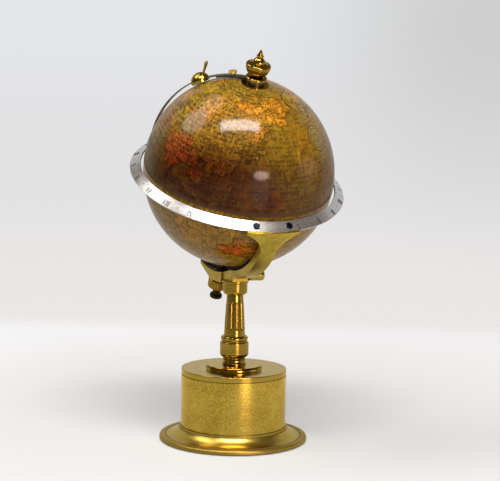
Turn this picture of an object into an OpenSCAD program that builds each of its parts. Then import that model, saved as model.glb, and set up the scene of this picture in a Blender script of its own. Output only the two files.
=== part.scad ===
// Globe clock: a five inch paper globe that turns once a day inside a fixed
// twenty-four hour ring, on a turned brass column with a weighted drum foot.
// Millimetres. +Z is up, the origin is the middle of the foot on the table,
// and the front, towards which the pole leans, is -Y.

/* [Globe] */
// radius of the finished globe ball
globe_r = 63.5; // [50:0.5:80]
// wall of the pasted paper shell
shell_t = 3.2; // [2:0.1:5]
// height of the globe's centre above the table
globe_z = 181.5; // [150:0.5:220]
// how far the globe's centre sits in front of the column's axis
globe_front = 3; // [0:0.5:10]
// lean of the polar axis from the vertical, in degrees
tilt = 23.5; // [10:0.5:40]

/* [Foot and drum] */
// radius of the foot plate
foot_r = 49.8; // [40:0.1:70]
// radius of the drum
drum_r = 35.45; // [25:0.05:50]
// height of the drum's lid above the table
lid_top = 48.7; // [30:0.1:80]
// height of the joint line below the lid
lid_joint = 44.7; // [28:0.1:76]
// wall of the drum
drum_t = 2.9; // [1.5:0.1:5]
// radius of the raised disc on the lid
disc_r = 19; // [12:0.5:30]
// height of the raised disc's top above the table
disc_top = 51.4; // [49:0.1:60]
// thickness of the baize pad under the foot
pad_t = 1.2; // [0.5:0.1:3]

/* [Column] */
// height of the joint between the knop and the fluted shaft
knop_top = 70.8; // [60:0.1:90]
// height of the joint between the shaft and the head
shaft_top = 98.6; // [80:0.1:120]
// height of the head's flat top
head_top = 108.3; // [90:0.1:130]
// radius of the knop's barrel
knop_r = 9.7; // [6:0.1:14]
// radius of the shaft at its lower end
shaft_r_low = 7.2; // [4:0.1:12]
// radius of the shaft at its upper end
shaft_r_high = 5.5; // [3:0.1:10]
// number of flutes round the shaft
flutes = 12; // [6:1:24]
// radius of the tie rod through the column
rod_r = 2.5; // [1.5:0.1:4]

/* [Hour ring] */
// inner radius of the silvered ring, at its upper edge
ring_in = 65.6; // [60:0.1:80]
// outer radius of the silvered ring, at its lower edge
ring_out = 72; // [66:0.1:90]
// how far the ring's upper edge lies below the equator
ring_drop_in = 1.95; // [0:0.05:6]
// how far the ring's lower edge lies below the equator
ring_drop_out = 5.9; // [2:0.05:12]
// thickness of the ring's plate
ring_t = 1.2; // [0.6:0.1:3]
// half the angle between the two ring screws, in degrees
ring_screw_a = 9.3; // [5:0.1:15]
// how far the middle of the two screws sits off the front, in degrees
ring_turn = -0.9; // [-3:0.1:3]

/* [Cradle] */
// inner radius of the cradle strap about the globe's centre
strap_in = 66.1; // [64:0.1:75]
// outer radius of the cradle strap
strap_out = 71.2; // [68:0.1:85]
// width of the strap
strap_w = 11; // [6:0.5:20]
// width of the tab that carries the ring
tab_w = 36; // [20:0.5:60]
// radius of the coves between strap and tab
cove_r = 16; // [5:0.5:25]
// height of the clamp bolt's axis above the table
bolt_z = 111.3; // [108:0.1:116]

/* [Polar axle] */
// radius of the hollow lower axle
axle_r = 2.6; // [2:0.1:4]
// radius of the winding rod inside it
wind_r = 1.25; // [0.8:0.05:2]
// radius of the solid upper axle
upper_r = 2; // [1.5:0.1:3]
// distance of the pole nut's seat from the globe's centre
nut_seat = 82.7; // [75:0.1:95]
// radius of the knurled pole nut
nut_r = 7; // [4:0.1:12]
// thickness of the pole nut
nut_t = 6.4; // [3:0.1:12]
// radius of the blackened plate below the globe's south pole
pole_plate_r = 12; // [7:0.1:12.5]

/* [Pointer arc] */
// bearing of the pointer arc round the polar axis, from the right, in degrees
arc_az = 133.7; // [0:0.1:360]
// inner radius of the pointer arc's strip
arc_in = 66.45; // [66.3:0.05:67.5]
// how far the arc's centre sits below the globe's centre, along the axis
arc_drop = 0.9; // [0.8:0.05:1]
// thickness of the strips
strip_t = 0.8; // [0.6:0.05:0.9]
// width of the strips
strip_w = 4; // [2:0.1:8]
// angle of the arc's tip from the pole, in degrees
arc_end = 90.2; // [60:0.1:90.5]
// angle of the small arc screw from the pole, in degrees
arc_screw_a = 14; // [13:0.5:18]
// angle of the sliding dome from the pole, in degrees
slider_a = 35.5; // [31:0.5:80]
// radius of the sliding dome
dome_r = 6.4; // [5:0.1:7]
// height of the dome above the strip's middle
dome_h = 4.7; // [3:0.1:6]
// lean of the slider's lever towards the pole, in degrees
lever_a = 42; // [0:1:60]

/* [Movement] */
// radius of the movement's plates
plate_r = 52; // [45:0.5:55]
// half the distance between the plates
frame_h = 8; // [6:0.5:12]
// thickness of the plates
plate_t = 2; // [1:0.1:3]
// distance of the intermediate arbor from the polar axis
inter_d = 35; // [30:0.5:40]
// distance of the barrel arbor from the polar axis
barrel_d = 21; // [18:0.5:25]

/* [Fits] */
// radial clearance of a turning fit
run = 0.08; // [0.03:0.01:0.1]
// radial clearance of a fixed fit
snug = 0.05; // [0.02:0.01:0.1]
// free gap between pieces that pass each other
gap = 0.3; // [0.2:0.05:1]

/* [Render] */
// piece to draw, or all of them

/* [Hidden] */
$fn = 96;
foot_lift = 0.4;
foot_seat = 8.1;
foot_rim_h = 3.2;
step_r = 45;
skirt_r = 36.3;
skirt_top = 10.1;
skirt_cove = 10;
floor_top = 5;
boss_r = 10;
boss_top = 7.5;
rod_nut_r = 4.6;
rod_nut_h = 2.6;
rod_nut_z = 1.6;
recess_r = 6.5;
pad_r = 45.7;
ballast_r = 31.3;
ballast_in = 11;
ballast_top = 22;
ballast_screws_r = 24;
groove_h = 0.4;
spigot_h = 3.7;
head_r = 8.2;
head_flange_r = 8.9;
head_flange_h = 2;
peg_r = 3.6;
peg_top = 113.6;
bolt_r = 2;
bolt_neck_r = 2.9;
bolt_barrel_r = 3.8;
bolt_head_r = 4;
bolt_end = 20.3;
flute_r = 1.3;
flute_out = 0.6;
flute_low = 76.2;
flute_high = 93.1;
flute_turn = 22.3;
hub_front = 9;
hub_back = 10;
tab_a = 55;
lip_out = ring_out + 0.3;
lip_low = 5;
arm_w = 13;
arm_low = 105.3;
arm_tip = 27;
arm_tip_t = 3;
dip_r = 85;
dip_y = 22;
dip_z = 111.9;
collar_r = 5;
shoulder_r = 4.4;
shoulder_end = nut_seat - 5.3;
shell_in = globe_r - shell_t;
bush_r = 6.2;
bush_low = globe_r + 1.1;
bush_flange_r = 9;
bush_flange_low = shell_in - 0.9;
bush_top = shell_in - 2.3;
collar_low = bush_low + 3;
axle_end = nut_seat + nut_t + 0.9;
knob_r = 4.3;
knob_top = axle_end + 1.2;
knob_neck_r = 2.8;
knob_neck = 4;
knob_t = 2.3;
knob_end = knob_top + knob_neck + knob_t;
cap_r = 8.9;
cap_seat = globe_r - 1;
cap_top = globe_r + 0.15;
cap_spigot_r = 5.2;
cap_spigot_end = shell_in - 2.8;
upper_end = globe_r - 2.3;
stud_r = 2;
stud_top = cap_top + 9.35;
eye_r = 6.2;
eye_low = sqrt(arc_in * arc_in - eye_r * eye_r);
root_end = 24;
slider_low = arc_in - 1.6;
slider_split = (arc_in + arc_in + strip_t) / 2;
lever_at = [-3.4, 2, arc_in + 1.35];
lever_l = 10.8;
arc_out = arc_in + strip_t;
root_out = arc_in - 0.05;
root_in = root_out - strip_t;
root_low = cap_top + 0.05 + arc_drop;
root_flat = sqrt(root_in * root_in - root_low * root_low);
finial_low = arc_out - arc_drop + 0.05;
urn_r = 8.2;
urn_z = finial_low + 9.6;
urn_neck_r = 2.9;
day_teeth = 60;
day_m = 1;
inter_pinion_teeth = 10;
inter_teeth = 48;
inter_m = 0.75;
cannon_teeth = 12;
great_teeth = 72;
centre_teeth = 64;
train_m = 0.5;
centre_pinion_teeth = 12;
wind_pinion_teeth = 14;
wind_teeth = 42;
wind_m = 0.75;
inter_pos = [0, -inter_d];
barrel_pos = [barrel_d, 0];
great_reach = train_m * (great_teeth + centre_pinion_teeth) / 2;
cannon_reach = inter_m * (cannon_teeth + inter_teeth) / 2;
pair_d = norm(inter_pos - barrel_pos);
pair_dir = (inter_pos - barrel_pos) / pair_d;
pair_foot = (pair_d * pair_d + great_reach * great_reach - cannon_reach * cannon_reach) / (2 * pair_d);
centre_pos = barrel_pos + pair_foot * pair_dir
    + sqrt(great_reach * great_reach - pair_foot * pair_foot) * [-pair_dir[1], pair_dir[0]];
case_pos = centre_pos + [-25.9, 2.2];
case_r = 12;
click_pos = barrel_pos + [0, 10.5];
ratchet_teeth = 24;
toward_centre = atan2(centre_pos[1] - barrel_pos[1], centre_pos[0] - barrel_pos[0]);
toward_inter = atan2(inter_pos[1] - centre_pos[1], inter_pos[0] - centre_pos[0]);
pillar_a = [100, 225, 345];
pillar_d = 46;
pivot_r = 0.8;
arbor_r = 1.3;
face_a = atan((ring_drop_out - ring_drop_in) / (ring_out - ring_in));
ring_nx = sin(face_a);
ring_nz = cos(face_a);
ring_mid_r = (ring_in + ring_out) / 2;
ring_mid_s = -(ring_drop_in + ring_drop_out) / 2;

// the globe's own frame: origin at its centre, z along the polar axis, front at -y
module polar() {
    translate([0, -globe_front, globe_z]) rotate([tilt, 0, 0]) children();
}

// the pointer arc's frame: origin at the arc's centre, x out from the polar axis along it
module on_arc() {
    polar() translate([0, 0, -arc_drop]) rotate([0, 0, arc_az]) children();
}

// a place on the arc: z points away from the globe's centre, -x towards the pole
module at_arc(a) {
    on_arc() rotate([0, a, 0]) children();
}

// places of the two ring screws, with z square to the ring's face
module at_ring_screws() {
    for (side = [-1, 1]) {
        rotate([0, 0, -90 + ring_turn + side * ring_screw_a]) translate([ring_mid_r, 0, ring_mid_s])
            rotate([0, face_a, 0]) children();
    }
}

// a turned drum of radius r from z0 to z1 with its edges rounded by low and high
module turned(r, z0, z1, low, high) {
    rotate_extrude() {
        translate([0, z0 + low]) square([r, z1 - z0 - low - high]);
        translate([0, z0]) square([r - low, low + 0.01]);
        translate([r - low, z0 + low]) circle(low);
        translate([0, z1 - high - 0.01]) square([r - high, high + 0.01]);
        translate([r - high, z1 - high]) circle(high);
    }
}

// a hole of radius r through z0 to z1
module bore(r, z0, z1) {
    translate([0, 0, z0]) cylinder(r = r, h = z1 - z0);
}

// a washer or tube
module tube(r_out, r_in, z0, z1) {
    difference() {
        bore(r_out, z0, z1);
        bore(r_in, z0 - 1, z1 + 1);
    }
}

// outline of a toothed wheel of n teeth and module m, its teeth a little thin
module gear_outline(n, m) {
    r_root = m * (n / 2 - 1.2);
    r_tip = m * (n / 2 + 0.75);
    pitch = 360 / n;
    polygon([for (i = [0 : n - 1], k = [[-0.25, 0], [-0.09, 1], [0.09, 1], [0.25, 0]])
        let (r = k[1] == 1 ? r_tip : r_root, a = (i + k[0]) * pitch) r * [cos(a), sin(a)]]);
}

// a solid toothed wheel from z0 to z1, turned by a
module gear(n, m, z0, z1, a = 0) {
    translate([0, 0, z0]) rotate([0, 0, a]) linear_extrude(z1 - z0) gear_outline(n, m);
}

// a crossed-out wheel with spokes between a hub of radius hub and the rim
module crossed_wheel(n, m, z0, z1, hub, spokes, a = 0) {
    rim = m * (n / 2 - 1.2) - 2;
    translate([0, 0, z0]) linear_extrude(z1 - z0) difference() {
        rotate(a) gear_outline(n, m);
        difference() {
            circle(rim);
            circle(hub);
            for (i = [0 : spokes - 1]) rotate(i * 360 / spokes) translate([0, -1])
                square([rim + 1, 2]);
        }
    }
}

// a round knob whose rim is cut with small notches
module knurled(r, z0, z1, notches, edge) {
    difference() {
        turned(r, z0, z1, edge, edge);
        for (i = [0 : notches - 1]) rotate([0, 0, i * 360 / notches])
            translate([r + 0.25, 0, z0 - 1]) cylinder(r = 0.5, h = z1 - z0 + 2, $fn = 24);
    }
}

// pad of green baize let into the underside of the foot
module baize_pad() {
    color("DarkGreen") bore(pad_r, 0, pad_t);
}

// heavy turned foot: rounded rim, step, hollow skirt and a seat for the drum
module foot_plate() {
    cove = [45.58, 13.57];
    color("DarkGoldenrod") difference() {
        union() {
            turned(foot_r, foot_lift, foot_lift + foot_rim_h, 0.8, 1.4);
            rotate_extrude() difference() {
                translate([0, foot_lift + foot_rim_h - 0.3])
                    square([step_r - 0.2, skirt_top - foot_lift - foot_rim_h + 0.3]);
                translate(cove) circle(skirt_cove);
                translate([cove[0], skirt_top - 3]) square(12);
                translate([skirt_r, cove[1] - 5]) square([20, 12]);
            }
        }
        bore(pad_r + 0.3, -1, pad_t);
        bore(drum_r + snug, foot_seat, 20);
        difference() {
            bore(drum_r - drum_t - 0.7, floor_top, 20);
            bore(boss_r, 0, boss_top);
        }
        bore(rod_r + 0.1, 0, 20);
        bore(recess_r, 0, 4.3);
        for (i = [0 : 2]) rotate([0, 0, 120 * i + 90]) translate([ballast_screws_r, 0, 0]) {
            bore(1.6, 0, 10);
            bore(3.1, 0, pad_t + 1.6);
        }
    }
}

// cast ring that weights the foot
module ballast() {
    color("DimGray") difference() {
        tube(ballast_r, ballast_in, floor_top, ballast_top);
        for (i = [0 : 2]) rotate([0, 0, 120 * i + 90]) translate([ballast_screws_r, 0, 0])
            bore(1.5 + snug, 0, 11);
    }
}

// three screws that hold the ballast to the foot
module ballast_screws() {
    color("Silver") for (i = [0 : 2]) rotate([0, 0, 120 * i + 90])
        translate([ballast_screws_r, 0, 0]) difference() {
            union() {
                bore(3, pad_t + 0.1, pad_t + 1.6);
                bore(1.5, pad_t + 1, 10.5);
            }
            translate([-4, -0.4, pad_t]) cube([8, 0.8, 0.7]);
        }
}

// drum tube between foot and lid
module drum() {
    color("DarkGoldenrod") tube(drum_r, drum_r - drum_t, foot_seat, lid_joint);
}

// lid of the drum: a shadow groove above the joint and a spigot inside the tube
module drum_lid() {
    color("Goldenrod") difference() {
        union() {
            bore(drum_r - 0.6, lid_joint, lid_joint + groove_h + 0.1);
            turned(drum_r, lid_joint + groove_h, lid_top, 0.2, 0.4);
            bore(drum_r - drum_t - snug, lid_joint - spigot_h, lid_joint + 0.1);
        }
        bore(rod_r + 0.1, 30, 60);
        bore(drum_r - drum_t - 3, lid_joint - spigot_h - 1, lid_joint - 0.5);
    }
}

// raised disc between lid and column
module lid_disc() {
    color("Goldenrod") difference() {
        rotate_extrude() difference() {
            translate([0, lid_top]) square([disc_r, disc_top - lid_top]);
            translate([disc_r + 2.6, lid_top + 1.1]) circle(3);
        }
        bore(rod_r + 0.1, 40, 60);
    }
}

// knop at the column's foot: neck, barrel and upper moulding
module column_knop() {
    color("Goldenrod") difference() {
        union() {
            rotate_extrude() difference() {
                translate([0, disc_top]) square([8, 5.2]);
                translate([11, disc_top + 3]) circle(3.6);
                translate([8.1, disc_top + 4.2]) circle(0.7);
            }
            turned(knop_r, disc_top + 5, knop_top - 4.1, 2.4, 0.7);
            bore(knop_r - 1.2, knop_top - 4.2, knop_top - 3.3);
            turned(knop_r - 0.6, knop_top - 3.4, knop_top, 1.2, 1.4);
        }
        bore(rod_r + 0.1, 40, 80);
    }
}

// tapered shaft with round-ended flutes
module column_shaft() {
    slope = (shaft_r_low - shaft_r_high) / (shaft_top - knop_top);
    mid_z = (flute_low + flute_high) / 2;
    mid_r = shaft_r_low - slope * (mid_z - knop_top);
    color("Goldenrod") difference() {
        translate([0, 0, knop_top])
            cylinder(r1 = shaft_r_low, r2 = shaft_r_high, h = shaft_top - knop_top);
        for (i = [0 : flutes - 1]) rotate([0, 0, flute_turn + i * 360 / flutes])
            translate([mid_r + flute_out, 0, mid_z]) rotate([0, -atan(slope), 0]) {
                translate([0, 0, -(mid_z - flute_low)])
                    cylinder(r = flute_r, h = flute_high - flute_low, $fn = 32);
                for (end = [-1, 1]) translate([0, 0, end * (mid_z - flute_low)])
                    sphere(r = flute_r, $fn = 32);
            }
        bore(rod_r + 0.1, knop_top - 1, shaft_top + 1);
    }
}

// head of the column: bowl, collar, top flange and the peg the cradle sits on
module column_head() {
    color("Goldenrod") difference() {
        union() {
            turned(head_r, shaft_top, head_top - 1, 2.6, 0.3);
            turned(head_flange_r, head_top - head_flange_h, head_top, 0.9, 0.3);
            bore(peg_r, head_top - 0.1, peg_top);
        }
        bore(rod_r + snug, shaft_top - 1, 104.5);
        bolt_way();
    }
}

// blind hole for the cross bolt
module bolt_way() {
    translate([-4.6, 0, bolt_z]) rotate([0, 90, 0]) cylinder(r = bolt_r + snug, h = 40);
}

// height of the concave sweep along the top of hub and pivot arm
function dip_height(y) = dip_z + dip_r - sqrt(dip_r * dip_r - (y - dip_y) * (y - dip_y));

// rod that pulls foot, drum, lid and column together
module tie_rod() {
    color("Silver") bore(rod_r, rod_nut_z - 0.1, 104.3);
}

// nut of the tie rod in the foot's recess
module tie_rod_nut() {
    color("Silver") difference() {
        translate([0, 0, rod_nut_z + 0.1]) cylinder(r = rod_nut_r, h = rod_nut_h, $fn = 6);
        bore(rod_r + snug, 0, 10);
    }
}

// height of the ring's conical underside at radius r
function ring_under(r) = -ring_drop_in - (r - ring_in) * tan(face_a) - ring_t / cos(face_a);

// outline of strap and tab, seen square to the tab
module cradle_outline() {
    translate([-strap_w / 2, -75]) square([strap_w, 80]);
    difference() {
        translate([-tab_w / 2, -11.7]) square([tab_w, 27]);
        for (side = [-1, 1]) translate([side * (strap_w / 2 + cove_r), -11.7]) circle(cove_r);
    }
}

// a sphere whose poles lie front and back
module ball(r) {
    rotate([90, 0, 0]) sphere(r = r);
}

// half hoop under the globe, spread into a tab below the hour ring
module cradle() {
    color("DarkKhaki") difference() {
        union() {
            difference() {
                translate([0, -globe_front, globe_z]) intersection() {
                    ball(strap_out);
                    rotate([180 - tab_a, 0, 0]) linear_extrude(90) cradle_outline();
                }
                bore(head_flange_r + gap, shaft_top, head_top);
            }
            translate([0, -globe_front, globe_z]) intersection() {
                ball(lip_out);
                rotate([180 - tab_a, 0, 0]) translate([-tab_w / 2, lip_low, 0])
                    cube([tab_w, 9, 90]);
            }
            translate([0.1 - strap_w / 2, -hub_front, head_top])
                cube([strap_w - 0.2, hub_front + hub_back, 10]);
        }
        translate([0, -globe_front, globe_z]) ball(strap_in);
        translate([-20, hub_back, 60]) cube([40, 80, 120]);
        polar() rotate_extrude() polygon([[50, ring_under(50) - snug], [80, ring_under(80) - snug],
            [80, 60], [50, 60]]);
        bore(peg_r + snug, head_top - 1, peg_top + 0.1);
        bolt_way();
        rotate([90, 0, 90]) translate([0, 0, -20]) linear_extrude(40) polygon([
            for (y = [-3 : 2 : 11]) [y, dip_height(y)], [11, 130], [-3, 130]]);
        polar() at_ring_screws() bore(1.1 + snug, -5.5, 2);
    }
}

// arm behind the column that holds the polar axle
module pivot_arm() {
    y0 = -globe_front + nut_seat * sin(tilt);
    z0 = globe_z - nut_seat * cos(tilt);
    run_in = (arm_low - z0) / sin(tilt);
    tip = [y0 + arm_tip * cos(tilt), z0 + arm_tip * sin(tilt)];
    color("DarkKhaki") difference() {
        translate([-arm_w / 2, 0, 0]) rotate([90, 0, 90]) linear_extrude(arm_w) polygon([
            [hub_back, arm_low + 12],
            [hub_back, arm_low],
            [y0 + run_in * cos(tilt), arm_low],
            tip,
            tip + arm_tip_t * [-sin(tilt), cos(tilt)]]);
        translate([-20, dip_y, dip_z + dip_r]) rotate([0, 90, 0]) cylinder(r = dip_r, h = 40);
        polar() bore(axle_r + snug, -nut_seat - 5, -60);
        polar() bore(shoulder_r + snug, -shoulder_end, -60);
        polar() difference() {
            translate([-20, arm_tip - arm_w / 2, -nut_seat - 5]) cube([40, 20, 20]);
            translate([0, arm_tip - arm_w / 2, -nut_seat - 6]) cylinder(r = arm_w / 2, h = 30);
        }
    }
}

// cross bolt that pins the cradle to the column's peg: a thick barrel with a rounded head
module clamp_bolt() {
    color("DarkKhaki") translate([0, 0, bolt_z]) rotate([0, 90, 0]) {
        bore(bolt_r, -4.4, bolt_end - 2);
        bore(bolt_neck_r, strap_w / 2 + 0.1, head_flange_r + 0.5);
        turned(bolt_barrel_r, head_flange_r + 0.4, bolt_end - 4, 0.3, 0.3);
        turned(bolt_head_r, bolt_end - 4.1, bolt_end, 0.4, 1.7);
    }
}

// silvered conical ring that carries the twenty-four hours
module hour_ring() {
    low = ring_t * [-ring_nx, -ring_nz];
    inner = [ring_in, -ring_drop_in];
    outer = [ring_out, -ring_drop_out];
    color("Gainsboro") polar() difference() {
        rotate_extrude($fn = 180) polygon([inner, outer, outer + low, inner + low]);
        at_ring_screws() bore(1.1 + snug, -3, 3);
    }
}

// two blued screws that hold the ring on the tab
module ring_screws() {
    color("MidnightBlue") polar() at_ring_screws() difference() {
        union() {
            bore(1.1, -5, 0.1);
            turned(2.25, 0.02, 0.7, 0.05, 0.3);
        }
        translate([-3, -0.25, 0.4]) cube([6, 0.5, 1]);
    }
}

// hollow lower axle: thread for the nut, shoulder, thrust collar and plate flange
module lower_axle() {
    color("Silver") polar() difference() {
        union() {
            bore(axle_r, -axle_end, -frame_h - plate_t);
            bore(shoulder_r, -shoulder_end, 0.6 - collar_low);
            turned(collar_r, -collar_low, -bush_low - gap, 0.3, 0.3);
            bore(9, -frame_h - plate_t - 2.5, -frame_h - plate_t);
            bore(4, -frame_h - plate_t - 1, -frame_h);
        }
        bore(wind_r + run, -axle_end - 1, 0);
    }
}

// blackened plate on the axle's collar, just below the globe
module pole_plate() {
    color("Black") polar() tube(pole_plate_r, collar_r + snug, 0.2 - collar_low, -bush_low - 2 * gap);
}

// knurled nut under the pivot arm
module pole_nut() {
    color("DarkGoldenrod") polar() difference() {
        knurled(nut_r, -nut_seat - nut_t, -nut_seat, 40, 0.8);
        bore(axle_r + run, -axle_end - 1, -nut_seat + 1);
    }
}

// winding rod up through the hollow axle, with its pinion between the plates
module winding_rod() {
    color("Silver") polar() {
        bore(wind_r, -knob_end + 1, -3);
        gear(wind_pinion_teeth, wind_m, -5.8, -3.4, 180 / wind_pinion_teeth);
    }
}

// small blackened knob that winds the clock
module winding_knob() {
    color("SaddleBrown") polar() difference() {
        union() {
            knurled(knob_r, -knob_end, -knob_end + knob_t, 24, 0.6);
            bore(knob_neck_r, -knob_end + knob_t - 0.1, -knob_top);
        }
        bore(wind_r + snug, -knob_end + 0.95, -knob_top + 1);
    }
}

// lower plate of the movement, clamped on the lower axle's flange
module lower_plate() {
    color("Goldenrod") polar() difference() {
        bore(plate_r, -frame_h - plate_t, -frame_h);
        bore(4 + snug, -20, 0);
        for (p = [centre_pos, barrel_pos]) translate(p) bore(pivot_r + run, -20, 0);
        for (a = pillar_a) rotate([0, 0, a]) translate([pillar_d, 0, 0]) bore(1.5 + snug, -20, 0);
    }
}

// upper plate of the movement, under the upper axle's flange
module upper_plate() {
    color("Goldenrod") polar() difference() {
        bore(plate_r, frame_h, frame_h + plate_t);
        bore(4 + snug, 0, 20);
        for (p = [centre_pos, barrel_pos]) translate(p) bore(arbor_r + run, 0, 20);
        translate(inter_pos) bore(pivot_r + run, 0, 20);
        translate(click_pos) bore(0.9 + snug, frame_h + 0.1, 20);
        for (a = pillar_a) rotate([0, 0, a]) translate([pillar_d, 0, 0]) bore(1.5 + snug, 0, 20);
    }
}

// three pillars between the plates, their ends riveted over
module plate_pillars() {
    color("Goldenrod") polar() for (a = pillar_a) rotate([0, 0, a]) translate([pillar_d, 0, 0]) {
        bore(2.6, -frame_h, frame_h);
        bore(1.5, -frame_h - plate_t, frame_h + plate_t);
    }
}

// solid upper axle, on which the day wheel and the globe's cap turn
module upper_axle() {
    color("Silver") polar() {
        bore(9, frame_h + plate_t, frame_h + plate_t + 2.5);
        bore(4, frame_h, frame_h + plate_t + 1);
        bore(upper_r, frame_h + plate_t, upper_end);
    }
}

// going barrel with its ring of teeth and its cover
module mainspring_barrel() {
    color("Goldenrod") polar() translate(barrel_pos) difference() {
        union() {
            gear(great_teeth, train_m, -2.6, -1.4, toward_centre + 180 / great_teeth);
            bore(16.6, -2, 6.4);
        }
        bore(15.4, -1, 5.6);
        bore(arbor_r + run, -10, 10);
    }
}

// barrel arbor with the core for the spring's inner end
module barrel_arbor() {
    color("Silver") polar() translate(barrel_pos) {
        bore(pivot_r, -frame_h - plate_t, -7);
        bore(arbor_r, -frame_h + 0.1, 11.8);
        bore(4, -0.7, 5.3);
    }
}

// winding wheel on the barrel arbor, driven by the winding rod's pinion
module winding_wheel() {
    color("Goldenrod") polar() translate(barrel_pos) difference() {
        union() {
            crossed_wheel(wind_teeth, wind_m, -5.6, -4.2, 4, 4);
            bore(3, -5.6, -3.4);
        }
        bore(arbor_r + snug, -10, 10);
    }
}

// ratchet wheel on the barrel arbor, above the upper plate
module ratchet_wheel() {
    color("Silver") polar() translate(barrel_pos) difference() {
        linear_extrude_at(10.3, 11.5) polygon([for (i = [0 : ratchet_teeth - 1], k = [0, 1])
            let (a = 6 + (i + k * 0.1) * 360 / ratchet_teeth) (k == 0 ? 5.6 : 7) * [cos(a), sin(a)]]);
        bore(arbor_r + snug, 5, 15);
    }
}

// click that keeps the spring wound, lifted just clear of the ratchet's teeth
module winding_click() {
    color("Silver") polar() translate(click_pos) difference() {
        union() {
            bore(1.8, 10.3, 11.5);
            linear_extrude_at(10.3, 11.5) polygon([[-1.2, 1.2], [-6.5, -4.8], [-5.9, -5.3], [1.3, -1.2]]);
        }
        bore(0.9 + run, 8, 15);
    }
}

// screw on which the click turns
module click_screw() {
    color("Silver") polar() translate(click_pos) {
        bore(0.9, frame_h + 0.2, 11.8);
        bore(1.7, 11.7, 12.5);
    }
}

// a flat shape from z0 to z1
module linear_extrude_at(z0, z1) {
    translate([0, 0, z0]) linear_extrude(z1 - z0) children();
}

// centre wheel: it turns once an hour and drives the intermediate wheel above the plate
module centre_wheel() {
    color("Goldenrod") polar() translate(centre_pos) {
        crossed_wheel(centre_teeth, train_m, -7.4, -6.2, 4, 5);
        bore(3, -7.4, -5.2);
        gear(centre_pinion_teeth, train_m, -3.3, -0.7, toward_centre + 180);
        bore(arbor_r, -7.9, 13);
        bore(pivot_r, -frame_h - plate_t, -7);
        gear(cannon_teeth, inter_m, 10.6, 12.8, toward_inter);
    }
}

// intermediate wheel and pinion between the centre wheel and the day wheel
module intermediate_wheel() {
    color("Goldenrod") polar() translate(inter_pos) {
        crossed_wheel(inter_teeth, inter_m, 11, 12.2, 5, 5, toward_inter + 180 + 180 / inter_teeth);
        gear(inter_pinion_teeth, day_m, 12.1, 17, 90);
        bore(arbor_r, 10.3, 17.6);
        bore(pivot_r, frame_h, 19.4);
    }
}

// bridge that holds the upper pivot of the intermediate arbor
module intermediate_bridge() {
    color("Goldenrod") polar() translate(inter_pos) difference() {
        union() {
            for (side = [-1, 1]) translate([side * 22.5 - 2, -3, frame_h + plate_t]) cube([4, 6, 9.5]);
            translate([-24.5, -3, 17.9]) cube([49, 6, 1.6]);
        }
        bore(pivot_r + run, 10, 25);
    }
}

// closed case of the escapement, with a slot where the centre wheel's teeth enter
module escapement_case() {
    color("DarkGoldenrod") polar() difference() {
        translate(case_pos) turned(case_r, -frame_h, 3, 0.3, 0.6);
        translate(centre_pos) bore(train_m * (centre_teeth / 2 + 0.75) + gap, -7.8, -5.8);
        translate(case_pos) bore(0.5 + run, 1, 10);
    }
}

// balance wheel on its staff above the escapement case
module balance_wheel() {
    color("Gold") polar() translate(case_pos) {
        tube(9.5, 8.3, 4.4, 5.6);
        linear_extrude_at(4.6, 5.3) square([17.4, 1.6], center = true);
        bore(0.5, 1.4, 7.2);
        bore(1.6, 4.2, 5.8);
    }
}

// cock over the balance
module balance_cock() {
    color("Goldenrod") polar() translate(case_pos) difference() {
        union() {
            translate([-11.2, -2.5, 3]) cube([1.3, 5, 4.7]);
            translate([-11.2, -2.5, 6.4]) cube([11.2, 5, 1.3]);
            bore(2.5, 6.4, 7.7);
        }
        bore(0.5 + run, 6, 7.4);
    }
}

// day wheel: it turns the globe once in twenty-four hours through its long pipe
module day_wheel() {
    color("Goldenrod") polar() difference() {
        union() {
            crossed_wheel(day_teeth, day_m, 14.2, 16, 6, 6, 3);
            bore(5, 13.2, 20);
            bore(3.6, 13.2, cap_spigot_end);
        }
        bore(upper_r + run, 10, cap_spigot_end + 1);
    }
}

// upper half of the globe
module globe_north() {
    color("Peru") polar() difference() {
        sphere(r = globe_r, $fn = 180);
        sphere(r = shell_in, $fn = 180);
        bore(globe_r + 1, -globe_r - 1, 0.05);
        bore(cap_spigot_r + snug, cap_spigot_end, globe_r + 1);
        bore(cap_r + snug, cap_seat, globe_r + 1);
    }
}

// lower half of the globe, with the inner band that joins the halves
module globe_south() {
    color("Peru") polar() difference() {
        union() {
            difference() {
                sphere(r = globe_r, $fn = 180);
                bore(globe_r + 1, -0.05, globe_r + 1);
            }
            bore(shell_in - 0.3, -5, 4);
        }
        difference() {
            sphere(r = shell_in, $fn = 180);
            bore(globe_r, -5, 10);
        }
        bore(shell_in - 1.5, -5.1, 10);
        bore(bush_r + snug, -bush_low, -bush_top);
    }
}

// brass bush in the globe's south pole that turns on the lower axle
module south_bush() {
    color("Goldenrod") polar() difference() {
        union() {
            bore(bush_r, -bush_low, -bush_top);
            bore(bush_flange_r, -bush_flange_low, -bush_top);
        }
        bore(axle_r + run, -bush_low - 1, 1 - bush_top);
    }
}

// brass cap on the north pole with the stud for arc and finial
module north_cap() {
    color("DarkGoldenrod") polar() difference() {
        union() {
            rotate_extrude() difference() {
                translate([0, cap_seat]) square([cap_r, cap_top - cap_seat]);
                translate([cap_r + 0.25, (cap_seat + cap_top) / 2]) circle(0.45);
            }
            bore(cap_spigot_r, cap_spigot_end, cap_seat + 0.1);
            bore(stud_r, cap_top - 0.1, stud_top);
        }
        bore(upper_r + run, cap_spigot_end - 1, upper_end + gap);
    }
}

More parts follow.
